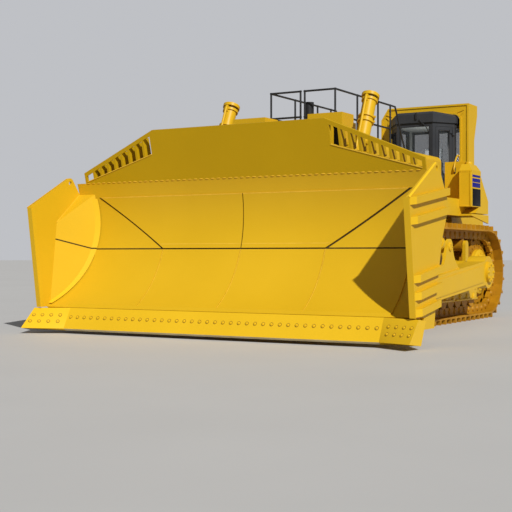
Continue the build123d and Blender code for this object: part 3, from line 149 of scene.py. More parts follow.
# dark brown for strips laid in seams and grooves: painted shade
seamShadeBrown = coatedMetal("seamShadeBrown", {
    "tones": ((0.032, 0.018, 0.003), (0.045, 0.026, 0.004), (0.075, 0.043, 0.006)),
    "patches": 4, "mottle": 9, "roughness": (0.7, 0.9), "grain": (90, 0.3, 0.002),
})
# mid brown for the rings round the edge bolts: painted shade
ringShadeBrown = coatedMetal("ringShadeBrown", {
    "tones": ((0.19, 0.105, 0.008), (0.26, 0.145, 0.01), (0.33, 0.19, 0.014)),
    "patches": 4, "mottle": 9, "roughness": (0.6, 0.8), "grain": (90, 0.2, 0.002),
})
# light yellow for the weld beads at the guard's foot, and for painted highlights on lips, edges and seam fillers
weldAndHighlightYellow = coatedMetal("weldAndHighlightYellow", {
    "tones": ((0.68, 0.40, 0.025), (0.75, 0.46, 0.035), (0.8, 0.5, 0.045)),
    "patches": 9, "mottle": 14, "roughness": (0.36, 0.52), "grain": (60, 0.3, 0.004),
})
# pale tan for the strip under the cutting edge's lip: painted light on its shaded underside
paintedLightTan = coatedMetal("paintedLightTan", {
    "tones": ((0.5, 0.4, 0.21), (0.6, 0.5, 0.3), (0.66, 0.57, 0.38)),
    "patches": 3, "mottle": 7, "roughness": (0.5, 0.7), "grain": (50, 0.2, 0.003), "gloss": 0.2,
})
liningPale = coatedMetal("liningPale", {
    "tones": ((0.31, 0.335, 0.325), (0.34, 0.365, 0.355), (0.37, 0.395, 0.385)),
    "patches": 3, "mottle": 6, "roughness": (0.72, 0.86), "grain": (240, 0.25, 0.001),
})
rubberBlack = coatedMetal("rubberBlack", {
    "tones": ((0.013, 0.013, 0.014), (0.018, 0.018, 0.019), (0.026, 0.026, 0.027)),
    "patches": 5, "mottle": 11, "roughness": (0.55, 0.72), "grain": (200, 0.12, 0.0008),
})


def paneGlass(name, look):
    material, parts, wires, shader, coords = freshMaterial(name)
    smear = noiseOn(parts, wires, coords, look["smearScale"], 4)
    wires.new(spreadOn(parts, wires, smear, *look["roughness"]), shader.inputs["Roughness"])
    wires.new(rampOn(parts, wires, smear, [(0.3, look["tint"]), (0.8, look["dust"])]), shader.inputs["Base Color"])
    shader.inputs["Alpha"].default_value = look["alpha"]
    shader.inputs["IOR"].default_value = 1.5
    return material


cabPane = paneGlass("cabPane", {
    "tint": (0.03, 0.036, 0.038), "dust": (0.055, 0.062, 0.062), "alpha": 0.3,
    "roughness": (0.03, 0.09), "smearScale": 1.7,
})


def wovenCloth(name, look):
    # two crossing runs of threads under a soft mottle
    material, parts, wires, shader, coords = freshMaterial(name)
    runs = []
    for direction in ("Y", "DIAGONAL"):
        thread = parts.new("ShaderNodeTexWave")
        thread.bands_direction = direction
        thread.inputs["Scale"].default_value = look["threadScale"]
        thread.inputs["Distortion"].default_value = 0.6
        wires.new(coords, thread.inputs["Vector"])
        runs.append(thread.outputs["Fac"])
    weave = parts.new("ShaderNodeMath")
    weave.operation = "MAXIMUM"
    wires.new(runs[0], weave.inputs[0])
    wires.new(runs[1], weave.inputs[1])
    mottle = noiseOn(parts, wires, coords, look["patchScale"], 5)
    blend = parts.new("ShaderNodeMath")
    blend.operation = "MULTIPLY"
    wires.new(weave.outputs["Value"], blend.inputs[0])
    wires.new(spreadOn(parts, wires, mottle, 0.7, 1.1), blend.inputs[1])
    wires.new(rampOn(parts, wires, blend.outputs["Value"], [(0.1, look["deep"]), (0.9, look["main"])]),
              shader.inputs["Base Color"])
    wires.new(spreadOn(parts, wires, mottle, 0.72, 0.9), shader.inputs["Roughness"])
    bumpOn(parts, wires, weave.outputs["Value"], 0.35, 0.0015)
    shader.inputs["Sheen Weight"].default_value = 0.25
    shader.inputs["Sheen Roughness"].default_value = 0.5
    return material


seatCloth = wovenCloth("seatCloth", {
    "main": (0.66, 0.71, 0.75), "deep": (0.5, 0.55, 0.6), "threadScale": 60, "patchScale": 7,
})

# which finish each node of the frame gets
finishes = {
    bladeYellow: ("moldboard", "liner_plates", "end_plates"),
    edgeHighlightYellow: ("cutting_edge", "end_bits"),
    guardShadeYellow: ("spill_guard",),
    machineYellow: (
        "blade_back", "push_arm_left", "push_arm_right", "tilt_barrel_left", "tilt_barrel_right",
        "lift_barrel_left", "lift_barrel_right", "lift_yokes", "main_frame", "radiator_guard", "hood_top",
        "engine_side_panels", "deck", "fenders", "tank_left", "tank_right", "rops", "counterweight", "drawbar",
        "track_frame_left", "track_frame_right", "final_drives",
    ),
    trackOrange: ("track_left", "track_right", "sprockets", "idlers", "track_rollers"),
    cabCharcoal: ("cab_frame", "cab_roof", "door_left", "door_right", "consoles"),
    darkSteel: ("engine", "radiator_core", "exhaust_stack", "handrails"),
    rodSteel: ("lift_rod_left", "lift_rod_right", "tilt_rod_left", "tilt_rod_right"),
    cabPane: ("cab_glass", "door_left_glass", "door_right_glass"),
    seatCloth: ("seat",),
}
for finish, names in finishes.items():
    for name in names:
        nodes[name].data.materials.clear()
        nodes[name].data.materials.append(finish)
print("finishes laid on", sum(len(names) for names in finishes.values()), "nodes")


# floor, light and camera

def addToScene(name, data):
    thing = bpy.data.objects.new(name, data)
    bpy.context.scene.collection.objects.link(thing)
    return thing


def layFloor(look):
    material, parts, wires, shader, coords = freshMaterial("paleFloor")
    cloud = noiseOn(parts, wires, coords, 0.3, 5)
    wires.new(rampOn(parts, wires, cloud, [(0.35, look["shade"]), (0.7, look["tone"])]), shader.inputs["Base Color"])
    shader.inputs["Roughness"].default_value = 0.7
    shape = bmesh.new()
    bmesh.ops.create_circle(shape, cap_ends=True, radius=look["radius"], segments=96)
    mesh = bpy.data.meshes.new("floor")
    shape.to_mesh(mesh)
    shape.free()
    mesh.materials.append(material)
    addToScene("floor", mesh)


layFloor({"radius": 260, "tone": (0.53, 0.525, 0.515), "shade": (0.51, 0.505, 0.495)})

lightRig = {
    "sunWay": Vector((-0.51, -0.624, -0.595)), "sunPower": 4.15, "sunSoftness": radians(0.9),
    "sunColour": (1, 0.99, 0.97), "cabPlace": (-4.15, 0, 3.8), "cabPower": 26, "cabSize": 0.25,
    "sky": (0.93, 0.95, 1.0), "fillPower": 0.2, "backdropPower": 0.56,
}


def lightUp(rig):
    sun = bpy.data.lights.new("keySun", "SUN")
    sun.energy = rig["sunPower"]
    sun.angle = rig["sunSoftness"]
    sun.color = rig["sunColour"]
    keySun = addToScene("keySun", sun)
    keySun.rotation_mode = "QUATERNION"
    keySun.rotation_quaternion = rig["sunWay"].to_track_quat("-Z", "Y")
    bulb = bpy.data.lights.new("cabBulb", "POINT")
    bulb.energy = rig["cabPower"]
    bulb.shadow_soft_size = rig["cabSize"]
    addToScene("cabBulb", bulb).location = rig["cabPlace"]
    world = bpy.data.worlds.new("softStudio")
    world.use_nodes = True
    parts, wires = world.node_tree.nodes, world.node_tree.links
    fill = parts["Background"]
    backdrop = parts.new("ShaderNodeBackground")
    for light, power in ((fill, rig["fillPower"]), (backdrop, rig["backdropPower"])):
        light.inputs["Color"].default_value = (*rig["sky"], 1)
        light.inputs["Strength"].default_value = power
    rays = parts.new("ShaderNodeLightPath")
    mix = parts.new("ShaderNodeMixShader")
    wires.new(rays.outputs["Is Camera Ray"], mix.inputs["Fac"])
    wires.new(fill.outputs["Background"], mix.inputs[1])
    wires.new(backdrop.outputs["Background"], mix.inputs[2])
    wires.new(mix.outputs["Shader"], parts["World Output"].inputs["Surface"])
    bpy.context.scene.world = world


lightUp(lightRig)
bpy.context.scene.view_settings.view_transform = "Standard"

photoCamera = {"place": Vector((20.52, 9.58, 1.41)), "turn": radians(29.92), "tip": radians(-0.07), "lens": 76.15}


def setCamera(shot):
    camera = addToScene("photoCamera", bpy.data.cameras.new("photoCamera"))
    camera.data.lens = shot["lens"]
    camera.data.sensor_width = 36
    camera.data.clip_end = 1000
    camera.location = shot["place"]
    way = Vector((-cos(shot["turn"]) * cos(shot["tip"]), -sin(shot["turn"]) * cos(shot["tip"]), sin(shot["tip"])))
    camera.rotation_mode = "QUATERNION"
    camera.rotation_quaternion = way.to_track_quat("-Z", "Y")
    bpy.context.scene.camera = camera


setCamera(photoCamera)
print("floor, light and camera set")


# shared ways of making small pieces

def finishPiece(shape, name, material, body):
    bmesh.ops.remove_doubles(shape, verts=shape.verts, dist=0.00002)
    bmesh.ops.recalc_face_normals(shape, faces=shape.faces)
    for face in shape.faces:
        face.smooth = True
    mesh = bpy.data.meshes.new(name)
    shape.to_mesh(mesh)
    shape.free()
    mesh.set_sharp_from_angle(angle=radians(35))
    mesh.materials.append(material)
    piece = addToScene(name, mesh)
    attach(piece, body)
    return piece


def facing(place, way):
    return Matrix.Translation(place) @ Vector(way).to_track_quat("Z", "Y").to_matrix().to_4x4()


def bothSides(shape):
    bmesh.ops.mirror(shape, geom=shape.verts[:] + shape.edges[:] + shape.faces[:], axis="Y", merge_dist=-1)


def finishPair(shape, name, material, body):
    bothSides(shape)
    return finishPiece(shape, name, material, body)


def toSide(shape, hand):
    bmesh.ops.scale(shape, vec=(1, hand, 1), verts=shape.verts)


def mirrored(places):
    flip = Matrix.Diagonal((1, -1, 1))
    return places + [(flip @ Vector(place), flip @ Vector(way)) for place, way in places]


def roundEdges(shape, edges, offset, segments):
    bmesh.ops.bevel(shape, geom=edges, offset=offset, offset_type="OFFSET", segments=segments, profile=0.5,
                    affect="EDGES", material=-1, clamp_overlap=True)


def roundedBlock(shape, low, high, edge, segments=2):
    low, high = Vector(low), Vector(high)
    stand = Matrix.Translation((low + high) / 2) @ Matrix.Diagonal((*(high - low), 1))
    made = bmesh.ops.create_cube(shape, size=1, matrix=stand)["verts"]
    rims = list({rim for vert in made for rim in vert.link_edges})
    roundEdges(shape, rims, edge, segments)


def flatBar(shape, start, end, width, depth, out):
    # bar between two points, standing out from the face that they lie on
    start, end = Vector(start), Vector(end)
    along = end - start
    across = along.cross(Vector(out)).normalized() * width
    out = across.cross(along).normalized() * depth
    stand = Matrix((along, across, out)).transposed().to_4x4()
    stand.translation = (start + end + out) / 2
    bmesh.ops.create_cube(shape, size=1, matrix=stand)


def prism(shape, corners, sweep):
    face = shape.faces.new([shape.verts.new(corner) for corner in corners])
    grown = bmesh.ops.extrude_face_region(shape, geom=[face])["geom"]
    bmesh.ops.translate(shape, vec=sweep, verts=[part for part in grown if isinstance(part, bmesh.types.BMVert)])


def lathed(shape, place, way, profile, steps=20):
    # turns an outline of (radius, height) about an axis
    stand = facing(place, way)
    spots = [shape.verts.new(stand @ Vector((radius, 0, height))) for radius, height in profile]
    lines = [shape.edges.new(pair) for pair in zip(spots, spots[1:])]
    bmesh.ops.spin(shape, geom=spots + lines, cent=place, axis=Vector(way).normalized(), angle=2 * pi, steps=steps,
                   use_merge=True)


def bentPipe(shape, start, way, radius, moves, sides=10):
    # rigid pipe: a number runs on, a (way, bend radius) pair turns
    spot, way = Vector(start), Vector(way).normalized()
    ring = bmesh.ops.create_circle(shape, cap_ends=True, radius=radius, segments=sides, matrix=facing(spot, way))
    loop = list({rim for vert in ring["verts"] for rim in vert.link_edges})
    for move in moves:
        if isinstance(move, tuple):
            turnWay, bend = Vector(move[0]).normalized(), move[1]
            axis = way.cross(turnWay).normalized()
            hub = spot + axis.cross(way) * bend
            angle = way.angle(turnWay)
            turned = bmesh.ops.spin(shape, geom=loop, cent=hub, axis=axis, angle=angle, steps=6)["geom_last"]
            loop = [part for part in turned if isinstance(part, bmesh.types.BMEdge)]
            spot = hub + Matrix.Rotation(angle, 3, axis) @ (spot - hub)
            way = turnWay
        else:
            grown = bmesh.ops.extrude_edge_only(shape, edges=loop)["geom"]
            tips = [part for part in grown if isinstance(part, bmesh.types.BMVert)]
            bmesh.ops.translate(shape, vec=way * move, verts=tips)
            loop = [part for part in grown if isinstance(part, bmesh.types.BMEdge) and
                    all(vert in tips for vert in part.verts)]
            spot = spot + way * move
    bmesh.ops.contextual_create(shape, geom=loop)


def curvedTube(name, look):
    # rigid bent tube along a smooth line, made a mesh
    line = bpy.data.curves.new(name, "CURVE")
    line.dimensions = "3D"
    line.bevel_depth = look["radius"]
    line.bevel_resolution = 3
    line.use_fill_caps = True
    spline = line.splines.new("NURBS")
    spline.points.add(len(look["points"]) - 1)
    for spot, point in zip(spline.points, look["points"]):
        spot.co = (*point, 1)
    spline.order_u = 3
    spline.use_endpoint_u = True
    holder = bpy.data.objects.new(name, line)
    mesh = bpy.data.meshes.new_from_object(holder)
    bpy.data.objects.remove(holder)
    shape = bmesh.new()
    shape.from_mesh(mesh)
    bpy.data.meshes.remove(mesh)
    return shape


def stud(shape, place, way, sides, foot, head, depth, lift):
    # short turned head, with its middle lifted off the place
    stand = facing(place, way) @ Matrix.Translation((0, 0, lift))
    bmesh.ops.create_cone(shape, cap_ends=True, segments=sides, radius1=foot, radius2=head, depth=depth, matrix=stand)


def hexBolts(name, body, material, places, size):
    # a hex head on a washer at each (place, way)
    shape = bmesh.new()
    for place, way in places:
        stud(shape, place, way, 12, size * 1.35, size * 1.3, size * 0.35, size * 0.12)
        stud(shape, place, way, 6, size, size * 0.92, size * 0.7, size * 0.6)
    return finishPiece(shape, name, material, body)


def boltCircle(centre, way, radius, count, turn=0.0):
    stand = facing(centre, way)
    spots = []
    for index in range(count):
        angle = turn + 2 * pi * index / count
        spots.append((stand @ Vector((radius * cos(angle), radius * sin(angle), 0)), Vector(way)))
    return spots


def plowBolts(name, body, material, places, size):
    # low round heads set into the cutting edge
    shape = bmesh.new()
    for place, way in places:
        stud(shape, place, way, 16, size, size * 0.8, size * 0.5, size * 0.12)
        stud(shape, place, way, 8, size * 0.45, size * 0.4, size * 0.5, size * 0.4)
    return finishPiece(shape, name, material, body)


# blade: seams between the liners, edge bolts, rib noses, and the guard's welds and lips

bladeFace = {
    "centre": Vector((6.167, 0, 2.109)), "plate": 1.8705, "liner": 1.8515, "sheet": 0.003,
    "seam": (1.507, 1.529), "top": 2.48, "bottom": 0.52, "half": 3.15, "gap": 0.011,
    "lowerSeams": (-1.63, 0, 1.63), "filler": 0.007, "fillerRadius": 1.862,
    "slantFoot": (1.63, 1.53), "slantHead": (3.09, 2.48), "slantWidth": 0.028, "slantLap": 0.03,
    "lip": (2.464, 2.482), "lipHalf": 3.07, "bevel": (1.598, 1.609), "bevelHalf": 1.7,
    "toe": ((5.2137, 0.521), (5.17, 0.521), (5.264, 0.466)), "toeHalf": 3.14,
}


def faceSheet(shape, radius, y0, y1, z0, z1, steps):
    # sheet that follows the rolled face between two heights
    centre = bladeFace["centre"]
    start, end = (asin((z - centre.z) / radius) for z in (z0, z1))
    foot = centre + Vector((-radius * cos(start), 0, radius * sin(start)))
    ends = [shape.verts.new(foot + Vector((0, y, 0))) for y in (y0, y1)]
    line = shape.edges.new(ends)
    bmesh.ops.spin(shape, geom=[*ends, line], cent=centre, axis=(0, 1, 0), angle=end - start, steps=steps)


def thicken(shape, thickness):
    bmesh.ops.recalc_face_normals(shape, faces=shape.faces)
    bmesh.ops.solidify(shape, geom=shape.faces[:], thickness=thickness)


def keepBetween(shape, spots, way):
    # cuts away what lies before the first spot or past the second along the way
    for spot, side in zip(spots, (-1, 1)):
        geometry = shape.verts[:] + shape.edges[:] + shape.faces[:]
        bmesh.ops.bisect_plane(shape, geom=geometry, plane_co=spot, plane_no=way * side, clear_outer=True)


def laySeams(look):
    gap = look["gap"]
    # dark strips on the floors of the liner seams: painted shade
    dark = bmesh.new()
    faceSheet(dark, look["plate"], -look["half"], look["half"], *look["seam"], 2)
    faceSheet(dark, look["plate"], -gap, gap, look["seam"][1], look["top"], 24)
    thicken(dark, look["sheet"])
    finishPiece(dark, "linerSeams", seamShadeBrown, "blade")
    (footY, footZ), (headY, headZ) = look["slantFoot"], look["slantHead"]
    across = Vector((0, headZ - footZ, footY - headY)).normalized()
    slant = bmesh.new()
    faceSheet(slant, look["plate"], footY - look["slantLap"], look["half"], footZ, headZ, 32)
    inner = Vector((0, footY, footZ))
    keepBetween(slant, (inner, inner + across * look["slantWidth"]), across)
    thicken(slant, look["sheet"])
    finishPair(slant, "slantSeams", seamShadeBrown, "blade")
    # lighter strips in the lower seams, on the liner lip and on the bevel: painted highlights
    light = bmesh.new()
    for y in look["lowerSeams"]:
        faceSheet(light, look["fillerRadius"], y - look["filler"], y + look["filler"],
                  look["bottom"], look["seam"][0], 24)
    for start, end in ((-look["lipHalf"], -gap), (gap, look["lipHalf"])):
        faceSheet(light, look["liner"], start, end, *look["lip"], 2)
    for start, end in ((-look["bevelHalf"], -gap), (gap, look["bevelHalf"])):
        faceSheet(light, look["liner"], start, end, *look["bevel"], 1)
    thicken(light, look["sheet"])
    finishPiece(light, "linerEdges", weldAndHighlightYellow, "blade")
    toe = bmesh.new()
    prism(toe, [(x, -look["toeHalf"], z) for x, z in look["toe"]], (0, 2 * look["toeHalf"], 0))
    finishPiece(toe, "linerToe", bladeYellow, "blade")


laySeams(bladeFace)

cornerWing = {
    "corner": Vector((5.19, 3.6, 0.47)), "normal": Vector((0.5209, -0.8512, 0.0641)),
    "along": Vector((0.853, 0.522, 0)), "rimReach": 0.0005, "rimLift": 0.001, "seamDepth": 0.003, "fillet": 0.055,
    "filletZ": (0.53, 2.462), "filletY": (2.95, 3.62), "sheet": 0.004,
    "seam": (Vector((5.0387, 3.6, 1.7)), Vector((4.4552, 3.2301, 1.53))), "seamWidth": 0.022,
    "seamFold": Vector((4.4083, 3.1368, 1.53)), "foldWay": (0.894, -0.449, 0), "foldDepth": 0.007,
    "edge": (Vector((5, 3.6, 2.015)), Vector((4.34, 3.6, 2.545))), "bead": 0.014,
}


def dressWings(look):
    # sloped strip in the fold between each wing and the rolled plate
    fold = bmesh.new()
    faceSheet(fold, bladeFace["liner"], *look["filletY"], *look["filletZ"], 36)
    keepBetween(fold, (look["corner"], look["corner"] + look["normal"] * look["fillet"]), look["normal"])
    rim = [vert for vert in fold.verts if abs((vert.co - look["corner"]).dot(look["normal"])) < look["rimReach"]]
    bmesh.ops.translate(fold, vec=look["along"] * look["fillet"] + look["normal"] * look["rimLift"], verts=rim)
    thicken(fold, look["sheet"])
    # the fillet takes the lighter edge paint, a painted highlight
    finishPair(fold, "wingFillets", edgeHighlightYellow, "blade")
    # dark strips along the seam on each wing: painted shade
    seam = bmesh.new()
    flatBar(seam, *look["seam"], look["seamWidth"], look["seamDepth"], look["normal"])
    flatBar(seam, look["seam"][1], look["seamFold"], look["seamWidth"], look["foldDepth"], look["foldWay"])
    finishPair(seam, "wingSeams", seamShadeBrown, "blade")
    # light strip along each wing's top edge: painted highlight
    beads = bmesh.new()
    flatBar(beads, *look["edge"], look["bead"], look["bead"] / 2, (0, -1, 0))
    finishPair(beads, "wingEdgeHighlights", weldAndHighlightYellow, "blade")


dressWings(cornerWing)

edgeBolts = {
    "lip": Vector((5.47, 0, 0.09)), "top": Vector((5.277, 0, 0.455)), "half": 3.05, "count": 40, "reach": 2.97,
    "height": 0.555, "bitLip": Vector((5.86, 3.7, 0.105)), "bitTop": Vector((5.5, 3.7, 0.45)),
    "bitRows": (0.34, 0.645), "bitColumns": (0.2, 0.435, 0.665, 0.888), "size": 0.027,
    "ring": 0.034, "ringDepth": 0.006,
}


def edgeBoltPlaces(look):
    places = []
    run = look["top"] - look["lip"]
    way = Vector((run.z, 0, -run.x))
    step = 2 * look["reach"] / (look["count"] - 1)
    for index in range(look["count"]):
        y = index * step - look["reach"]
        places.append((look["lip"] + look["height"] * run + Vector((0, y, 0)), way))
    for hand in (-1, 1):
        flip = Matrix.Diagonal((1, hand, 1))
        innerLip = look["lip"] + Vector((0, look["half"], 0))
        innerTop = look["top"] + Vector((0, look["half"], 0))
        for row in look["bitRows"]:
            inner = innerLip.lerp(innerTop, row)
            outer = look["bitLip"].lerp(look["bitTop"], row)
            for column in look["bitColumns"]:
                upward = (innerTop - innerLip).lerp(look["bitTop"] - look["bitLip"], column)
                bitWay = (outer - inner).cross(upward)
                if bitWay.x < 0:
                    bitWay.negate()
                places.append((flip @ inner.lerp(outer, column), flip @ bitWay))
    return places


edgePlaces = edgeBoltPlaces(edgeBolts)
plowBolts("edgeBolts", "blade", edgeHighlightYellow, edgePlaces, edgeBolts["size"])
# dark rings round the edge bolts: painted shade
ringShape = bmesh.new()
for place, way in edgePlaces:
    stud(ringShape, place, way, 14, edgeBolts["ring"], edgeBolts["ring"], edgeBolts["ringDepth"], 0)
finishPiece(ringShape, "edgeBoltRings", ringShadeBrown, "blade")

# pale strip under the lip of the edge, painted light on its shaded underside, and a lighter strip on the sloped top
# edge of each end plate, painted highlight
paintedEdgeLight = {
    "middle": (5.4346, 0.0713), "half": 3.05, "width": 0.078, "depth": 0.002, "out": (0.467, 0, -0.884),
    "slope": ((5.75, 3.65, 2.25), (4.6575, 3.65, 2.832)), "slopeWidth": 0.03, "slopeDepth": 0.004,
    "slopeOut": (0.28, 0.7, 0.64),
}


def paintEdgeLight(look):
    strip = bmesh.new()
    x, z = look["middle"]
    flatBar(strip, (x, -look["half"], z), (x, look["half"], z), look["width"], look["depth"], look["out"])
    finishPiece(strip, "underLipPaintedLight", paintedLightTan, "blade")
    slopes = bmesh.new()
    flatBar(slopes, *look["slope"], look["slopeWidth"], look["slopeDepth"], look["slopeOut"])
    finishPair(slopes, "endPlateSlopes", edgeHighlightYellow, "blade")


paintEdgeLight(paintedEdgeLight)

endRibs = {
    "starts": (0.494, 0.743, 1.0, 1.86, 2.15), "lengths": (0.8, 0.9, 1.0, 1.35, 1.42), "height": 0.115, "rise": 0.14,
    "reach": 0.1, "front": (5.495, 0.417), "nose": (5.75, 2.25), "face": 3.65, "crest": 3.698, "cap": 0.022,
    "sunk": 0.01, "lap": 0.002,
}


def ribCaps(look):
    # flat bars on the end plates' ribs, with sloped front ends
    shape = bmesh.new()
    (frontX, frontZ), (noseX, noseZ) = look["front"], look["nose"]
    height, face, crest = look["height"], look["face"], look["crest"] + look["cap"]
    sunk, capFoot = face - look["sunk"], look["crest"] - look["lap"]
    for start, length in zip(look["starts"], look["lengths"]):
        x = frontX + (start - frontZ) / (noseZ - frontZ) * (noseX - frontX) - height
        tip, drop, climb = x + look["reach"], look["rise"] * look["reach"], look["rise"] * length
        prism(shape, [(x, sunk, start), (x, crest, start), (tip, face + look["lap"], start - drop),
                      (tip, sunk, start - drop)], (0, 0, height))
        prism(shape, [(x, capFoot, start), (x, capFoot, start + height), (x - length, capFoot, start + height + climb),
                      (x - length, capFoot, start + climb)], (0, crest - capFoot, 0))
    finishPair(shape, "ribCaps", bladeYellow, "blade")


ribCaps(endRibs)

spillGuard = {
    "foot": 4.407, "footZ": 2.75, "lean": 0.2586, "half": 3.39, "beadStep": 0.12, "beadLength": 0.042, "bead": 0.008,
    "beadOut": 0.004, "sill": ((1.79, 3.226), (3.34, 2.79)), "lip": 0.014, "lipDepth": 0.008, "out": (0.968, 0, -0.25),
}


def dressGuard(look):
    beads = bmesh.new()
    count = int(2 * look["half"] / look["beadStep"])
    for index in range(count):
        y = -look["half"] + (index + 0.5) * look["beadStep"]
        stand = Matrix.Translation((look["foot"] + look["beadOut"], y, look["footZ"]))
        stand = stand @ Matrix.Diagonal((look["bead"], look["beadLength"], look["bead"], 1))
        bmesh.ops.create_uvsphere(beads, u_segments=8, v_segments=5, radius=1, matrix=stand)
    finishPiece(beads, "guardWeld", weldAndHighlightYellow, "blade")
    # light lips along the window sills: painted highlight
    lips = bmesh.new()
    spots = [Vector((look["foot"] + look["lean"] * (z - look["footZ"]), y, z)) for y, z in look["sill"]]
    drop = Vector((0, 0, -look["lip"] / 2))
    flatBar(lips, spots[0] + drop, spots[1] + drop, look["lip"], look["lipDepth"], look["out"])
    finishPair(lips, "guardLips", weldAndHighlightYellow, "blade")


dressGuard(spillGuard)

bladePins = {
    "lift": {"place": (3.65, 1.15), "faces": (1.49, 0.168), "circle": 0.06, "count": 3, "size": 0.014},
    "tilt": {"place": (3.76, 2.3), "faces": (2.4, 0.175), "circle": 0.05, "count": 3, "size": 0.012},
    "arm": {"place": (3.95, 0.6), "faces": (2.4, 0.312), "circle": 0.07, "count": 4, "size": 0.018},
}
for pinName, look in bladePins.items():
    x, z = look["place"]
    middle, reach = look["faces"]
    spots = []
    for hand in (-1, 1):
        spots += boltCircle((x, middle + hand * reach, z), (0, hand, 0), look["circle"], look["count"])
    hexBolts(pinName + "PinBolts", "blade", machineYellow, mirrored(spots), look["size"])
print("blade dressed")


# tracks: link bosses, shoe bolts, drive and roller bolts

trackLoop = {
    "rear": -3.2, "front": 1.33, "axle": 1.03, "radius": 0.935, "shoes": 50, "middle": 1.61,
    "railFace": 0.2075, "pinDepth": 0.125, "boss": 0.062, "bossOut": 0.02, "pin": 0.034,
    "pinOut": 0.008, "pinAt": 0.0235, "boltOut": 0.02, "boltAt": 0.004,
    "boltAlong": 0.062, "boltAcross": (-0.165, 0.165), "boltSize": 0.024,
}


def loopSpot(along, height):
    # place and outward way on the loop, at a distance along the shoes
    look = trackLoop
    span = look["front"] - look["rear"]
    half = pi * look["radius"]
    reach = look["radius"] + height
    if along < span:
        return Vector((look["rear"] + along, 0, look["axle"] + reach)), Vector((0, 0, 1))
    if along < span + half:
        angle = pi / 2 - (along - span) / look["radius"]
        way = Vector((cos(angle), 0, sin(angle)))
        return Vector((look["front"], 0, look["axle"])) + reach * way, way
    if along < 2 * span + half:
        return Vector((look["front"] - (along - span - half), 0, look["axle"] - reach)), Vector((0, 0, -1))
    angle = -pi / 2 - (along - 2 * span - half) / look["radius"]
    way = Vector((cos(angle), 0, sin(angle)))
    return Vector((look["rear"], 0, look["axle"])) + reach * way, way


def dressTracks(look):
    pitch = (2 * (look["front"] - look["rear"]) + 2 * pi * look["radius"]) / look["shoes"]
    bosses, bolts = bmesh.new(), bmesh.new()
    for shoe in range(look["shoes"]):
        spot = loopSpot(shoe * pitch, -look["pinDepth"])[0]
        for hand in (-1, 1):
            face = spot + Vector((0, look["middle"] + hand * look["railFace"], 0))
            out = (0, hand, 0)
            stud(bosses, face, out, 12, look["boss"], look["boss"] * 0.85, look["bossOut"], look["bossOut"] / 2)
            stud(bosses, face, out, 8, look["pin"], look["pin"] * 0.9, look["pinOut"], look["pinAt"])
        for offset in (look["boltAlong"], pitch - look["boltAlong"]):
            seat, way = loopSpot(shoe * pitch + offset, look["boltAt"])
            for across in look["boltAcross"]:
                stud(bolts, seat + Vector((0, look["middle"] + across, 0)), way, 6, look["boltSize"],
                     look["boltSize"] * 0.9, look["boltOut"], 0)
    for shape, name in ((bosses, "linkBosses"), (bolts, "shoeBolts")):
        finishPair(shape, name, trackOrange, "tractor")


dressTracks(trackLoop)

driveBolts = {
    "x": -3.2, "z": 1.03, "cap": (1.92, 0.25, 10, 0.024), "cover": (1.798, 0.415, 18, 0.022),
    "sprocket": (1.685, 0.6, 24, 0.024), "slope": (0.915, 0.4036),
}


def dressDrives(look):
    capY, capCircle, capCount, capSize = look["cap"]
    spots = boltCircle((look["x"], capY, look["z"]), (0, 1, 0), capCircle, capCount)
    hexBolts("driveCapBolts", "tractor", machineYellow, mirrored(spots), capSize)
    coverY, coverCircle, coverCount, coverSize = look["cover"]
    centre, spots = Vector((look["x"], coverY, look["z"])), []
    for place, way in boltCircle(centre, (0, 1, 0), coverCircle, coverCount):
        outward = (place - centre).normalized()
        spots.append((place, look["slope"][0] * way + look["slope"][1] * outward))
    hexBolts("driveCoverBolts", "tractor", machineYellow, mirrored(spots), coverSize)
    faceY, circle, count, size = look["sprocket"]
    spots = boltCircle((look["x"], faceY, look["z"]), (0, 1, 0), circle, count)
    hexBolts("sprocketBolts", "tractor", trackOrange, mirrored(spots), size)


dressDrives(driveBolts)

rollerGuards = {
    "face": 1.9, "rollers": [-2.35 + index * 2.6 / 6 for index in range(7)], "rollerZ": 0.5,
    "collar": [(0, 0.03), (0.045, 0.03), (0.062, 0.018), (0.075, 0.018), (0.08, 0.012), (0.08, -0.002)],
    "boltZ": 0.675, "boltXs": [-2.45 + index * 0.31 for index in range(10)], "boltSize": 0.022,
    "lips": ((-2.5, -1.15), (-1.0, 0.36)), "lip": ((1.898, 0.44), (1.945, 0.475)), "lipEdge": 0.008,
    "yoke": (1.33, 1.91, 1.03), "yokeCircle": 0.132,
}


def dressRollerGuards(look):
    collars = bmesh.new()
    for x in look["rollers"]:
        lathed(collars, (x, look["face"], look["rollerZ"]), (0, 1, 0), look["collar"], 18)
    finishPair(collars, "rollerCollars", machineYellow, "tractor")
    spots = [(Vector((x, look["face"], look["boltZ"])), Vector((0, 1, 0))) for x in look["boltXs"]]
    spots += boltCircle(look["yoke"], (0, 1, 0), look["yokeCircle"], 6)
    hexBolts("trackFrameBolts", "tractor", machineYellow, mirrored(spots), look["boltSize"])
    lips = bmesh.new()
    (innerY, lowZ), (outerY, highZ) = look["lip"]
    for rear, front in look["lips"]:
        roundedBlock(lips, (rear, innerY, lowZ), (front, outerY, highZ), look["lipEdge"])
    finishPair(lips, "guardLipBars", machineYellow, "tractor")


dressRollerGuards(rollerGuards)
print("tracks dressed")


# push arms and cylinders

pushArms = {
    "cap": (-1.25, 2.645, 1.05), "capCircle": 0.16, "capCount": 8, "capSize": 0.024,
    "pin": (0.95, 1.56), "pinFaces": (2.4, 0.15),
    "headOut": 0.026, "headCircle": 0.05, "headSize": 0.013,
    "head": [(0, 0.026), (0.075, 0.026), (0.085, 0.018), (0.085, -0.002)],
}


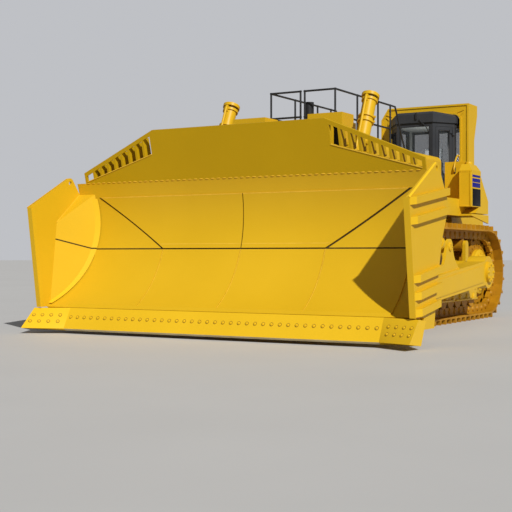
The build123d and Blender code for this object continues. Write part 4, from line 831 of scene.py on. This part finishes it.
def dressArms(look):
    hexBolts("trunnionBolts", "push_frame", machineYellow,
             mirrored(boltCircle(look["cap"], (0, 1, 0), look["capCircle"], look["capCount"])), look["capSize"])
    heads, spots = bmesh.new(), []
    middle, reach = look["pinFaces"]
    for hand in (-1, 1):
        face = Vector((look["pin"][0], middle + hand * reach, look["pin"][1]))
        lathed(heads, face, (0, hand, 0), look["head"], 24)
        spots += boltCircle(face + Vector((0, hand * look["headOut"], 0)), (0, hand, 0), look["headCircle"], 3)
    finishPair(heads, "tiltPinHeads", machineYellow, "push_frame")
    hexBolts("tiltBaseBolts", "push_frame", machineYellow, mirrored(spots), look["headSize"])


dressArms(pushArms)

liftCylinder = {
    "yoke": Vector((2.7, 1.49, 3.3)), "down": Vector((0.4042, 0, -0.9147)), "front": Vector((0.9147, 0, 0.4042)),
    "head": -1.14, "cap": [(0, 0.034), (0.07, 0.034), (0.1, 0.026), (0.112, 0.01), (0.114, -0.002)],
    "headCircle": 0.138, "bands": (-0.667, -0.564),
    "band": [(0.124, -0.022), (0.15, -0.022), (0.153, -0.018), (0.153, 0.018), (0.15, 0.022), (0.124, 0.022)],
    "groove": [(0.124, -0.018), (0.1275, -0.018), (0.1275, 0.018), (0.124, 0.018)], "grooveAt": -1.06,
    "gland": 0.8, "glandCircle": 0.113, "pipe": 0.024, "frontPipe": 0.172, "boltSize": 0.015,
    "lug": (0.15, 0.18), "lugLow": Vector((0.022, 0.01, 0.02)), "lugHigh": Vector((0.022, 0, 0.02)), "lugEdge": 0.006,
    "frontTop": -0.99, "frontBend": 0.045, "rearPipe": 0.0192, "rearTop": -0.544, "rearFace": -0.125, "rearBend": 0.035,
    "rearRun": 0.06,
}


def liftSpot(along, ahead=0.0, across=0.0):
    look = liftCylinder
    return look["yoke"] + look["down"] * along + look["front"] * ahead + Vector((0, across, 0))


def dressLift(look, side, hand):
    body = "lift_barrel_" + side
    up, front = -look["down"], look["front"]
    shape = bmesh.new()
    lathed(shape, liftSpot(look["head"]), up, look["cap"], 28)
    for along in look["bands"]:
        lathed(shape, liftSpot(along), up, look["band"], 28)
        near, far = (liftSpot(along, 0, across) for across in look["lug"])
        roundedBlock(shape, near - look["lugLow"], far + look["lugHigh"], look["lugEdge"])
    bentPipe(shape, liftSpot(look["frontTop"], look["frontPipe"]), up, look["pipe"],
             [0.025, (-front, look["frontBend"]), 0.02])
    bentPipe(shape, liftSpot(look["rearTop"], look["rearFace"]), -front, look["rearPipe"],
             [0.01, (look["down"], look["rearBend"]), look["rearRun"], (front, look["rearBend"]), 0.02])
    toSide(shape, hand)
    finishPiece(shape, "liftFittings_" + side, machineYellow, body)
    # dark ring in the groove of the head: painted shade
    groove = bmesh.new()
    lathed(groove, liftSpot(look["grooveAt"]), up, look["groove"], 28)
    toSide(groove, hand)
    finishPiece(groove, "liftGroove_" + side, seamShadeBrown, body)
    spots = boltCircle(liftSpot(look["head"]), up, look["headCircle"], 8, 0.2)
    spots += boltCircle(liftSpot(look["gland"]), look["down"], look["glandCircle"], 8)
    if hand < 0:
        spots = mirrored(spots)[len(spots):]
    hexBolts("liftBolts_" + side, body, machineYellow, spots, look["boltSize"])


tiltCylinder = {
    "base": Vector((0.95, 2.4, 1.56)), "along": Vector((0.967, 0, 0.2547)), "up": Vector((-0.2547, 0, 0.967)),
    "end": 1.7, "endCircle": 0.104, "pipeStart": 0.42, "pipeRun": 1.03, "pipe": 0.016, "pipeBend": 0.035,
    "saddles": (0.65, 1.2), "saddle": (0.05, 0.055, 0.045), "top": 0.115, "boltSize": 0.014,
}


def dressTilt(look, side, hand):
    body = "tilt_barrel_" + side
    along, up = look["along"], look["up"]
    shape = bmesh.new()
    top, bend = look["base"] + up * look["top"], look["pipeBend"]
    bentPipe(shape, top + along * look["pipeStart"], up, look["pipe"],
             [0.01, (along, bend), look["pipeRun"] - 2 * bend, (-up, bend), 0.012])
    length, width, depth = look["saddle"]
    for spot in look["saddles"]:
        flatBar(shape, top + along * (spot - length / 2), top + along * (spot + length / 2), width, depth, up)
    toSide(shape, hand)
    finishPiece(shape, "tiltPipe_" + side, machineYellow, body)
    spots = boltCircle(look["base"] + along * look["end"], along, look["endCircle"], 10)
    if hand < 0:
        spots = mirrored(spots)[len(spots):]
    hexBolts("tiltBolts_" + side, body, machineYellow, spots, look["boltSize"])


for side, hand in (("left", 1), ("right", -1)):
    dressLift(liftCylinder, side, hand)
    dressTilt(tiltCylinder, side, hand)
print("arms and cylinders dressed")


# tanks: bars, bare panel, front frame, bolts, cap and grab rail

tankSide = {
    "face": 1.9, "bars": ((3.108, 3.158), (3.001, 3.082), (2.886, 2.986)), "barX": (-2.8, -2.27),
    "panelX": (-2.82, -2.28), "panelZ": (2.477, 2.856), "front": -2.23, "frontY": (1.62, 1.9), "frontZ": (2.46, 3.2),
    "frame": (0.014, 0.048, 0.02), "frameDepth": 0.01, "frameEdge": 0.003,
    "sunk": 0.002, "proud": 0.004, "edge": 0.0015,
    "boltZ": 3.226, "boltYs": (1.66, 1.71, 1.76, 1.81, 1.86), "boltSize": 0.01,
    "cap": [(0, 0.07), (0.05, 0.07), (0.075, 0.062), (0.08, 0.05), (0.08, 0.02), (0.1, 0.018), (0.1, -0.004)],
    "capPlace": (-2.62, 1.7, 3.4), "latchLow": (-2.602, 1.365, 3.22), "latchHigh": (-2.578, 1.405, 3.35),
    "rail": {"radius": 0.016, "points": [
        (-2.61, 1.384, 3.25), (-2.53, 1.384, 3.26), (-2.56, 1.384, 3.38), (-2.66, 1.384, 3.55), (-2.8, 1.384, 3.66),
        (-2.93, 1.384, 3.6), (-2.93, 1.384, 3.43), (-2.84, 1.384, 3.41)]},
}


def tankPlate(shape, look, rear, front, low, high):
    inner, outer = look["face"] - look["sunk"], look["face"] + look["proud"]
    roundedBlock(shape, (rear, inner, low), (front, outer, high), look["edge"])


def dressTanks(look):
    bars = bmesh.new()
    for span in look["bars"]:
        tankPlate(bars, look, *look["barX"], *span)
    finishPair(bars, "tankBars", barBlue, "tractor")
    panels = bmesh.new()
    tankPlate(panels, look, *look["panelX"], *look["panelZ"])
    finishPair(panels, "tankPanels", panelBlack, "tractor")
    frames = bmesh.new()
    inner, outer, foot = look["frame"]
    (lowY, highY), (lowZ, highZ) = look["frontY"], look["frontZ"]
    face, proud, lap = look["front"] - look["sunk"], look["front"] + look["frameDepth"], look["sunk"]
    for y0, y1, top in ((lowY, lowY + inner, highZ), (highY - outer, highY, highZ),
                        (lowY + inner - lap, highY - outer + lap, lowZ + foot)):
        roundedBlock(frames, (face, y0, lowZ), (proud, y1, top), look["frameEdge"])
    lathed(frames, look["capPlace"], (0, 0, 1), look["cap"], 24)
    finishPair(frames, "tankFrames", machineYellow, "tractor")
    spots = [(Vector((look["front"], y, look["boltZ"])), Vector((1, 0, 0))) for y in look["boltYs"]]
    hexBolts("tankBolts", "tractor", machineYellow, mirrored(spots), look["boltSize"])
    rails = curvedTube("grabRails", look["rail"])
    finishPair(rails, "grabRails", machineYellow, "tractor")
    latches = bmesh.new()
    roundedBlock(latches, look["latchLow"], look["latchHigh"], 0.008)
    finishPair(latches, "tankLatches", rubberBlack, "tractor")


dressTanks(tankSide)
print("tanks dressed")


# roll-over frame, hood, rails and rear

rollFrame = {
    "floor": -4.3225, "depth": 0.0215, "plate": 0.014,
    "gussets": (((0.789, 4.786), (1.005, 4.867)), ((0.904, 4.71), (0.99, 4.799))),
    "footLow": (-4.8, 0.86, 2.648), "footHigh": (-4.24, 1.15, 2.682), "footBolts": ((-4.765, 0.95), (-4.765, 1.06)),
}


def dressRollFrame(look):
    shape = bmesh.new()
    for (y0, z0), (y1, z1) in look["gussets"]:
        flatBar(shape, (look["floor"], y0, z0), (look["floor"], y1, z1), look["plate"], look["depth"], (1, 0, 0))
    roundedBlock(shape, look["footLow"], look["footHigh"], 0.008)
    finishPair(shape, "rollFramePlates", machineYellow, "tractor")
    spots = [(Vector((x, y, look["footHigh"][2])), Vector((0, 0, 1))) for x, y in look["footBolts"]]
    hexBolts("rollFrameBolts", "tractor", machineYellow, mirrored(spots), 0.024)


dressRollFrame(rollFrame)

hoodTrim = {
    "face": 0.9, "columns": [-0.45 + index * 0.88 for index in range(-2, 3)], "latchZ": 2.46,
    "seams": [-0.45 + (index + 0.5) * 0.88 for index in range(-2, 2)], "seamZ": (2.32, 3.245), "seam": 0.012,
    "latch": [(0, 0.016), (0.022, 0.016), (0.03, 0.008), (0.032, -0.002)], "seamDepth": 0.0015, "barEdge": 0.005,
    "barLow": Vector((-0.05, 0.014, -0.009)), "barHigh": Vector((0.05, 0.03, 0.009)),
    "postXs": (2.08, 1.08, 0.07, -0.57, -1.39), "postY": 0.69, "gateY": 0.045, "top": 3.65,
    "flange": [(0.018, 0.012), (0.044, 0.012), (0.05, 0.007), (0.05, -0.002)],
    "gateFlange": [(0.018, 0.012), (0.03, 0.012), (0.034, 0.007), (0.034, -0.002)],
    "stack": (1.815, 0, 3.65), "collar": [(0.094, 0.05), (0.108, 0.05), (0.11, 0.02), (0.15, 0.016), (0.15, -0.002)],
}


def dressHood(look):
    # dark strips on the joins of the side panels: painted shade
    seams = bmesh.new()
    for x in look["seams"]:
        low, high = ((x, look["face"], z) for z in look["seamZ"])
        flatBar(seams, low, high, look["seam"], look["seamDepth"], (0, 1, 0))
    finishPair(seams, "panelSeams", seamShadeBrown, "tractor")
    latches = bmesh.new()
    for x in look["columns"]:
        place = Vector((x, look["face"], look["latchZ"]))
        lathed(latches, place, (0, 1, 0), look["latch"], 16)
        roundedBlock(latches, place + look["barLow"], place + look["barHigh"], look["barEdge"])
    finishPair(latches, "panelLatches", rubberBlack, "tractor")
    flanges = bmesh.new()
    for x in look["postXs"]:
        lathed(flanges, (x, look["postY"], look["top"]), (0, 0, 1), look["flange"], 16)
    lathed(flanges, (look["postXs"][0], look["gateY"], look["top"]), (0, 0, 1), look["gateFlange"], 16)
    bothSides(flanges)
    lathed(flanges, look["stack"], (0, 0, 1), look["collar"], 28)
    finishPiece(flanges, "railFlanges", darkSteel, "tractor")


dressHood(hoodTrim)

plainBolts = {
    "radiatorBolts": (0.018, [((2.75, 1.12, 1.5 + 0.275 * index), (1, 0, 0)) for index in range(9)] +
                      [((x, 1.15, 1.5 + 0.3 * index), (0, 1, 0)) for x in (2.2, 2.7) for index in range(5)]),
    "weightBolts": (0.036, [((-5.5, y, z), (-1, 0, 0)) for y in (0.25, 0.72) for z in (1.25, 1.8)]),
    "yokeBolts": (0.022, [((2.82, y, z), (1, 0, 0)) for y in (1.29, 1.69) for z in (3.2, 3.4)]),
}
for boltName, (size, spots) in plainBolts.items():
    spots = [(Vector(place), Vector(way)) for place, way in spots]
    hexBolts(boltName, "tractor", machineYellow, mirrored(spots), size)
print("roll-over frame, hood and rear dressed")


# cab: lining, trims, gaskets, wiper, handles, levers and seat

cabInside = {
    "plan": ((-3.79, -0.4), (-3.79, 0.4), (-4.27, 0.71), (-5.22, 0.71), (-5.22, -0.71), (-4.27, -0.71)),
    "lining": (4.495, 0.043), "liningRound": 0.02, "trimRound": 0.018,
    "trimLow": (-5.225, 0.66, 3.35), "trimHigh": (-5.15, 0.726, 4.5),
    "front": (-3.701, 0.365, 3.15, 4.45), "rear": (-5.299, 0.645, 3.35, 4.45),
    "side": (0.799, -5.145, -4.305, 3.35, 4.45),
    "gasket": 0.018, "gasketDepth": 0.012,
}


def lineCab(look):
    shape = bmesh.new()
    level, thick = look["lining"]
    prism(shape, [(x, y, level) for x, y in look["plan"]], (0, 0, thick))
    rims = [rim for rim in shape.edges if all(vert.co.z < level + 0.001 for vert in rim.verts)]
    roundEdges(shape, rims, look["liningRound"], 3)
    for hand in (-1, 1):
        low, high = Vector(look["trimLow"]), Vector(look["trimHigh"])
        y0, y1 = sorted((hand * low.y, hand * high.y))
        roundedBlock(shape, (low.x, y0, low.z), (high.x, y1, high.z), look["trimRound"])
    finishPiece(shape, "cabLining", liningPale, "tractor")


lineCab(cabInside)

doorFace = {
    "corner": Vector((-3.7, 0.45, 0)), "along": Vector((-0.8296, 0.5584, 0)), "out": Vector((0.5584, 0.8296, 0)),
    "pane": (0.176, 0.4758, 2.801, 4.359), "handle": (0.133, 3.45), "handleRun": 0.2, "handleStub": 0.025,
    "handleBend": 0.025, "handleSunk": 0.005, "gasketSunk": 0.001, "tube": 0.011,
}


def doorSpot(across, level, out):
    return doorFace["corner"] + doorFace["along"] * across + doorFace["out"] * out + Vector((0, 0, level))


def rectangle(near, far, low, high):
    return [(near, low), (far, low), (far, high), (near, high)]


def paneGasket(shape, corners, out, look):
    for start, end in zip(corners, corners[1:] + corners[:1]):
        flatBar(shape, start, end, look["gasket"], look["gasketDepth"], out)


def gasketCab(look):
    shape = bmesh.new()
    for pane, way in (("front", 1), ("rear", -1)):
        face, half, low, high = look[pane]
        paneGasket(shape, [(face, y, z) for y, z in rectangle(-half, half, low, high)], (way, 0, 0), look)
    face, *pane = look["side"]
    for hand in (-1, 1):
        paneGasket(shape, [(x, hand * face, z) for x, z in rectangle(*pane)], (0, hand, 0), look)
    finishPiece(shape, "paneGaskets", rubberBlack, "tractor")


gasketCab(cabInside)


def dressDoor(look, side, hand):
    shape = bmesh.new()
    corners = [doorSpot(across, level, -look["gasketSunk"]) for across, level in rectangle(*look["pane"])]
    paneGasket(shape, corners, look["out"], cabInside)
    across, level = look["handle"]
    stub, bend = look["handleStub"], look["handleBend"]
    bentPipe(shape, doorSpot(across, level, -look["handleSunk"]), look["out"], look["tube"],
             [stub, ((0, 0, 1), bend), look["handleRun"], (-look["out"], bend), stub])
    toSide(shape, hand)
    finishPiece(shape, "doorFittings_" + side, rubberBlack, "door_" + side)


dressDoor(doorFace, "left", 1)
dressDoor(doorFace, "right", -1)

wiper = {
    "motorLow": (-3.665, 0.03, 4.61), "motorHigh": (-3.625, 0.075, 4.775), "hub": Vector((-3.66, 0.137, 4.597)),
    "tip": Vector((-3.688, 0.313, 4.406)), "arm": 0.009, "armOut": Vector((0.016, 0, 0)), "motorEdge": 0.008,
    "hubTurn": [(0, 0.026), (0.016, 0.026), (0.02, 0.018), (0.022, -0.004)],
    "bladeHead": Vector((0.004, -0.09, 0.13)), "bladeFoot": Vector((-0.006, 0.05, -0.1)), "blade": (0.014, 0.02),
}


def makeWiper(look):
    shape = bmesh.new()
    roundedBlock(shape, look["motorLow"], look["motorHigh"], look["motorEdge"])
    lathed(shape, look["hub"], (1, 0, 0), look["hubTurn"], 16)
    reach = look["tip"] - look["hub"]
    bentPipe(shape, look["hub"] + look["armOut"], reach, look["arm"], [reach.length])
    flatBar(shape, look["tip"] + look["bladeHead"], look["tip"] + look["bladeFoot"], *look["blade"], (1, 0, 0))
    finishPiece(shape, "wiper", rubberBlack, "tractor")


makeWiper(wiper)

levers = {
    "places": ((-4.42, 0.425, 3.33), (-4.4, -0.425, 3.33), (-4.5, -0.43, 3.33)),
    "boot": [(0, 0.1), (0.02, 0.1), (0.028, 0.06), (0.04, 0.03), (0.052, 0.008), (0.054, -0.002)],
    "stem": 0.2, "stemRadius": 0.011, "gripLap": 0.01, "padEdge": 0.016,
    "grip": [(0, 0.13), (0.016, 0.128), (0.024, 0.11), (0.02, 0.06), (0.023, 0.02), (0.014, 0)],
    "lean": Vector((0.12, 0, 1)),
    "pads": (((-4.74, 0.35, 3.325), (-4.5, 0.5, 3.37)), ((-4.74, -0.5, 3.325), (-4.58, -0.35, 3.37))),
}


def makeLevers(look):
    shape = bmesh.new()
    for place in look["places"]:
        foot, lean = Vector(place), look["lean"]
        lathed(shape, foot, (0, 0, 1), look["boot"], 16)
        bentPipe(shape, foot, lean, look["stemRadius"], [look["stem"]])
        lathed(shape, foot + lean.normalized() * (look["stem"] - look["gripLap"]), lean, look["grip"], 16)
    for low, high in look["pads"]:
        roundedBlock(shape, low, high, look["padEdge"], 3)
    finishPiece(shape, "levers", rubberBlack, "tractor")


makeLevers(levers)

seatForm = {
    "squabLow": Vector((-4.91, -0.255, 3.1)), "squabHigh": Vector((-4.375, 0.255, 3.225)), "round": 0.05,
    "backWidth": 0.255, "back": ((-4.905, 3.12), (-4.79, 3.12), (-4.905, 4.055), (-5.005, 4.055)),
    "voxel": 0.01, "pressure": 4, "cap": 0.022, "frames": 20,
    "baseLow": (-4.86, -0.19, 2.65), "baseHigh": (-4.44, 0.19, 2.72), "panLow": (-4.89, -0.21, 3.035),
    "panHigh": (-4.42, 0.21, 3.1), "bellowsAt": (-4.65, 0, 2.715), "baseEdge": 0.012,
    "bellows": [(0.12, 0), (0.165, 0.03), (0.12, 0.065), (0.165, 0.1), (0.12, 0.135), (0.165, 0.17), (0.12, 0.205),
                (0.165, 0.24), (0.12, 0.275), (0.165, 0.305), (0.12, 0.33)],
}


def applyModifiers(pad):
    graph = bpy.context.evaluated_depsgraph_get()
    shaped = bpy.data.meshes.new_from_object(pad.evaluated_get(graph))
    plain = pad.data
    pad.modifiers.clear()
    pad.data = shaped
    bpy.data.meshes.remove(plain)


def plumpPad(shape, name, look):
    # pressure swells the form, and no point moves further than the cap
    mesh = bpy.data.meshes.new(name)
    shape.to_mesh(mesh)
    shape.free()
    pad = addToScene(name, mesh)
    remesh = pad.modifiers.new("remesh", "REMESH")
    remesh.mode = "VOXEL"
    remesh.voxel_size = look["voxel"]
    applyModifiers(pad)
    rest = [vert.co.copy() for vert in pad.data.vertices]
    cloth = pad.modifiers.new("cloth", "CLOTH")
    cloth.settings.use_pressure = True
    cloth.settings.uniform_pressure_force = look["pressure"]
    cloth.settings.effector_weights.gravity = 0
    cloth.point_cache.frame_start = 1
    cloth.point_cache.frame_end = look["frames"]
    for step in range(1, look["frames"] + 1):
        bpy.context.scene.frame_set(step)
    applyModifiers(pad)
    for vert, home in zip(pad.data.vertices, rest):
        move = vert.co - home
        if move.length > look["cap"]:
            vert.co = home + move * (look["cap"] / move.length)
    bpy.context.scene.frame_set(1)
    pad.data.materials.clear()
    pad.data.materials.append(seatCloth)
    for face in pad.data.polygons:
        face.use_smooth = True
    fine = pad.modifiers.new("fine", "SUBSURF")
    fine.levels = 1
    fine.render_levels = 1
    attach(pad, "tractor")
    return pad


def makeSeat(look):
    squab = bmesh.new()
    roundedBlock(squab, look["squabLow"], look["squabHigh"], look["round"], 4)
    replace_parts(plumpPad(squab, "seatSquab", look), "seat")
    back = bmesh.new()
    half = look["backWidth"]
    prism(back, [(x, -half, z) for x, z in look["back"]], (0, 2 * half, 0))
    bmesh.ops.recalc_face_normals(back, faces=back.faces)
    roundEdges(back, back.edges[:], look["round"], 4)
    plumpPad(back, "seatBack", look)
    base = bmesh.new()
    roundedBlock(base, look["baseLow"], look["baseHigh"], look["baseEdge"])
    roundedBlock(base, look["panLow"], look["panHigh"], look["baseEdge"])
    lathed(base, look["bellowsAt"], (0, 0, 1), look["bellows"], 24)
    finishPiece(base, "seatBase", rubberBlack, "tractor")


makeSeat(seatForm)
print("cab dressed")
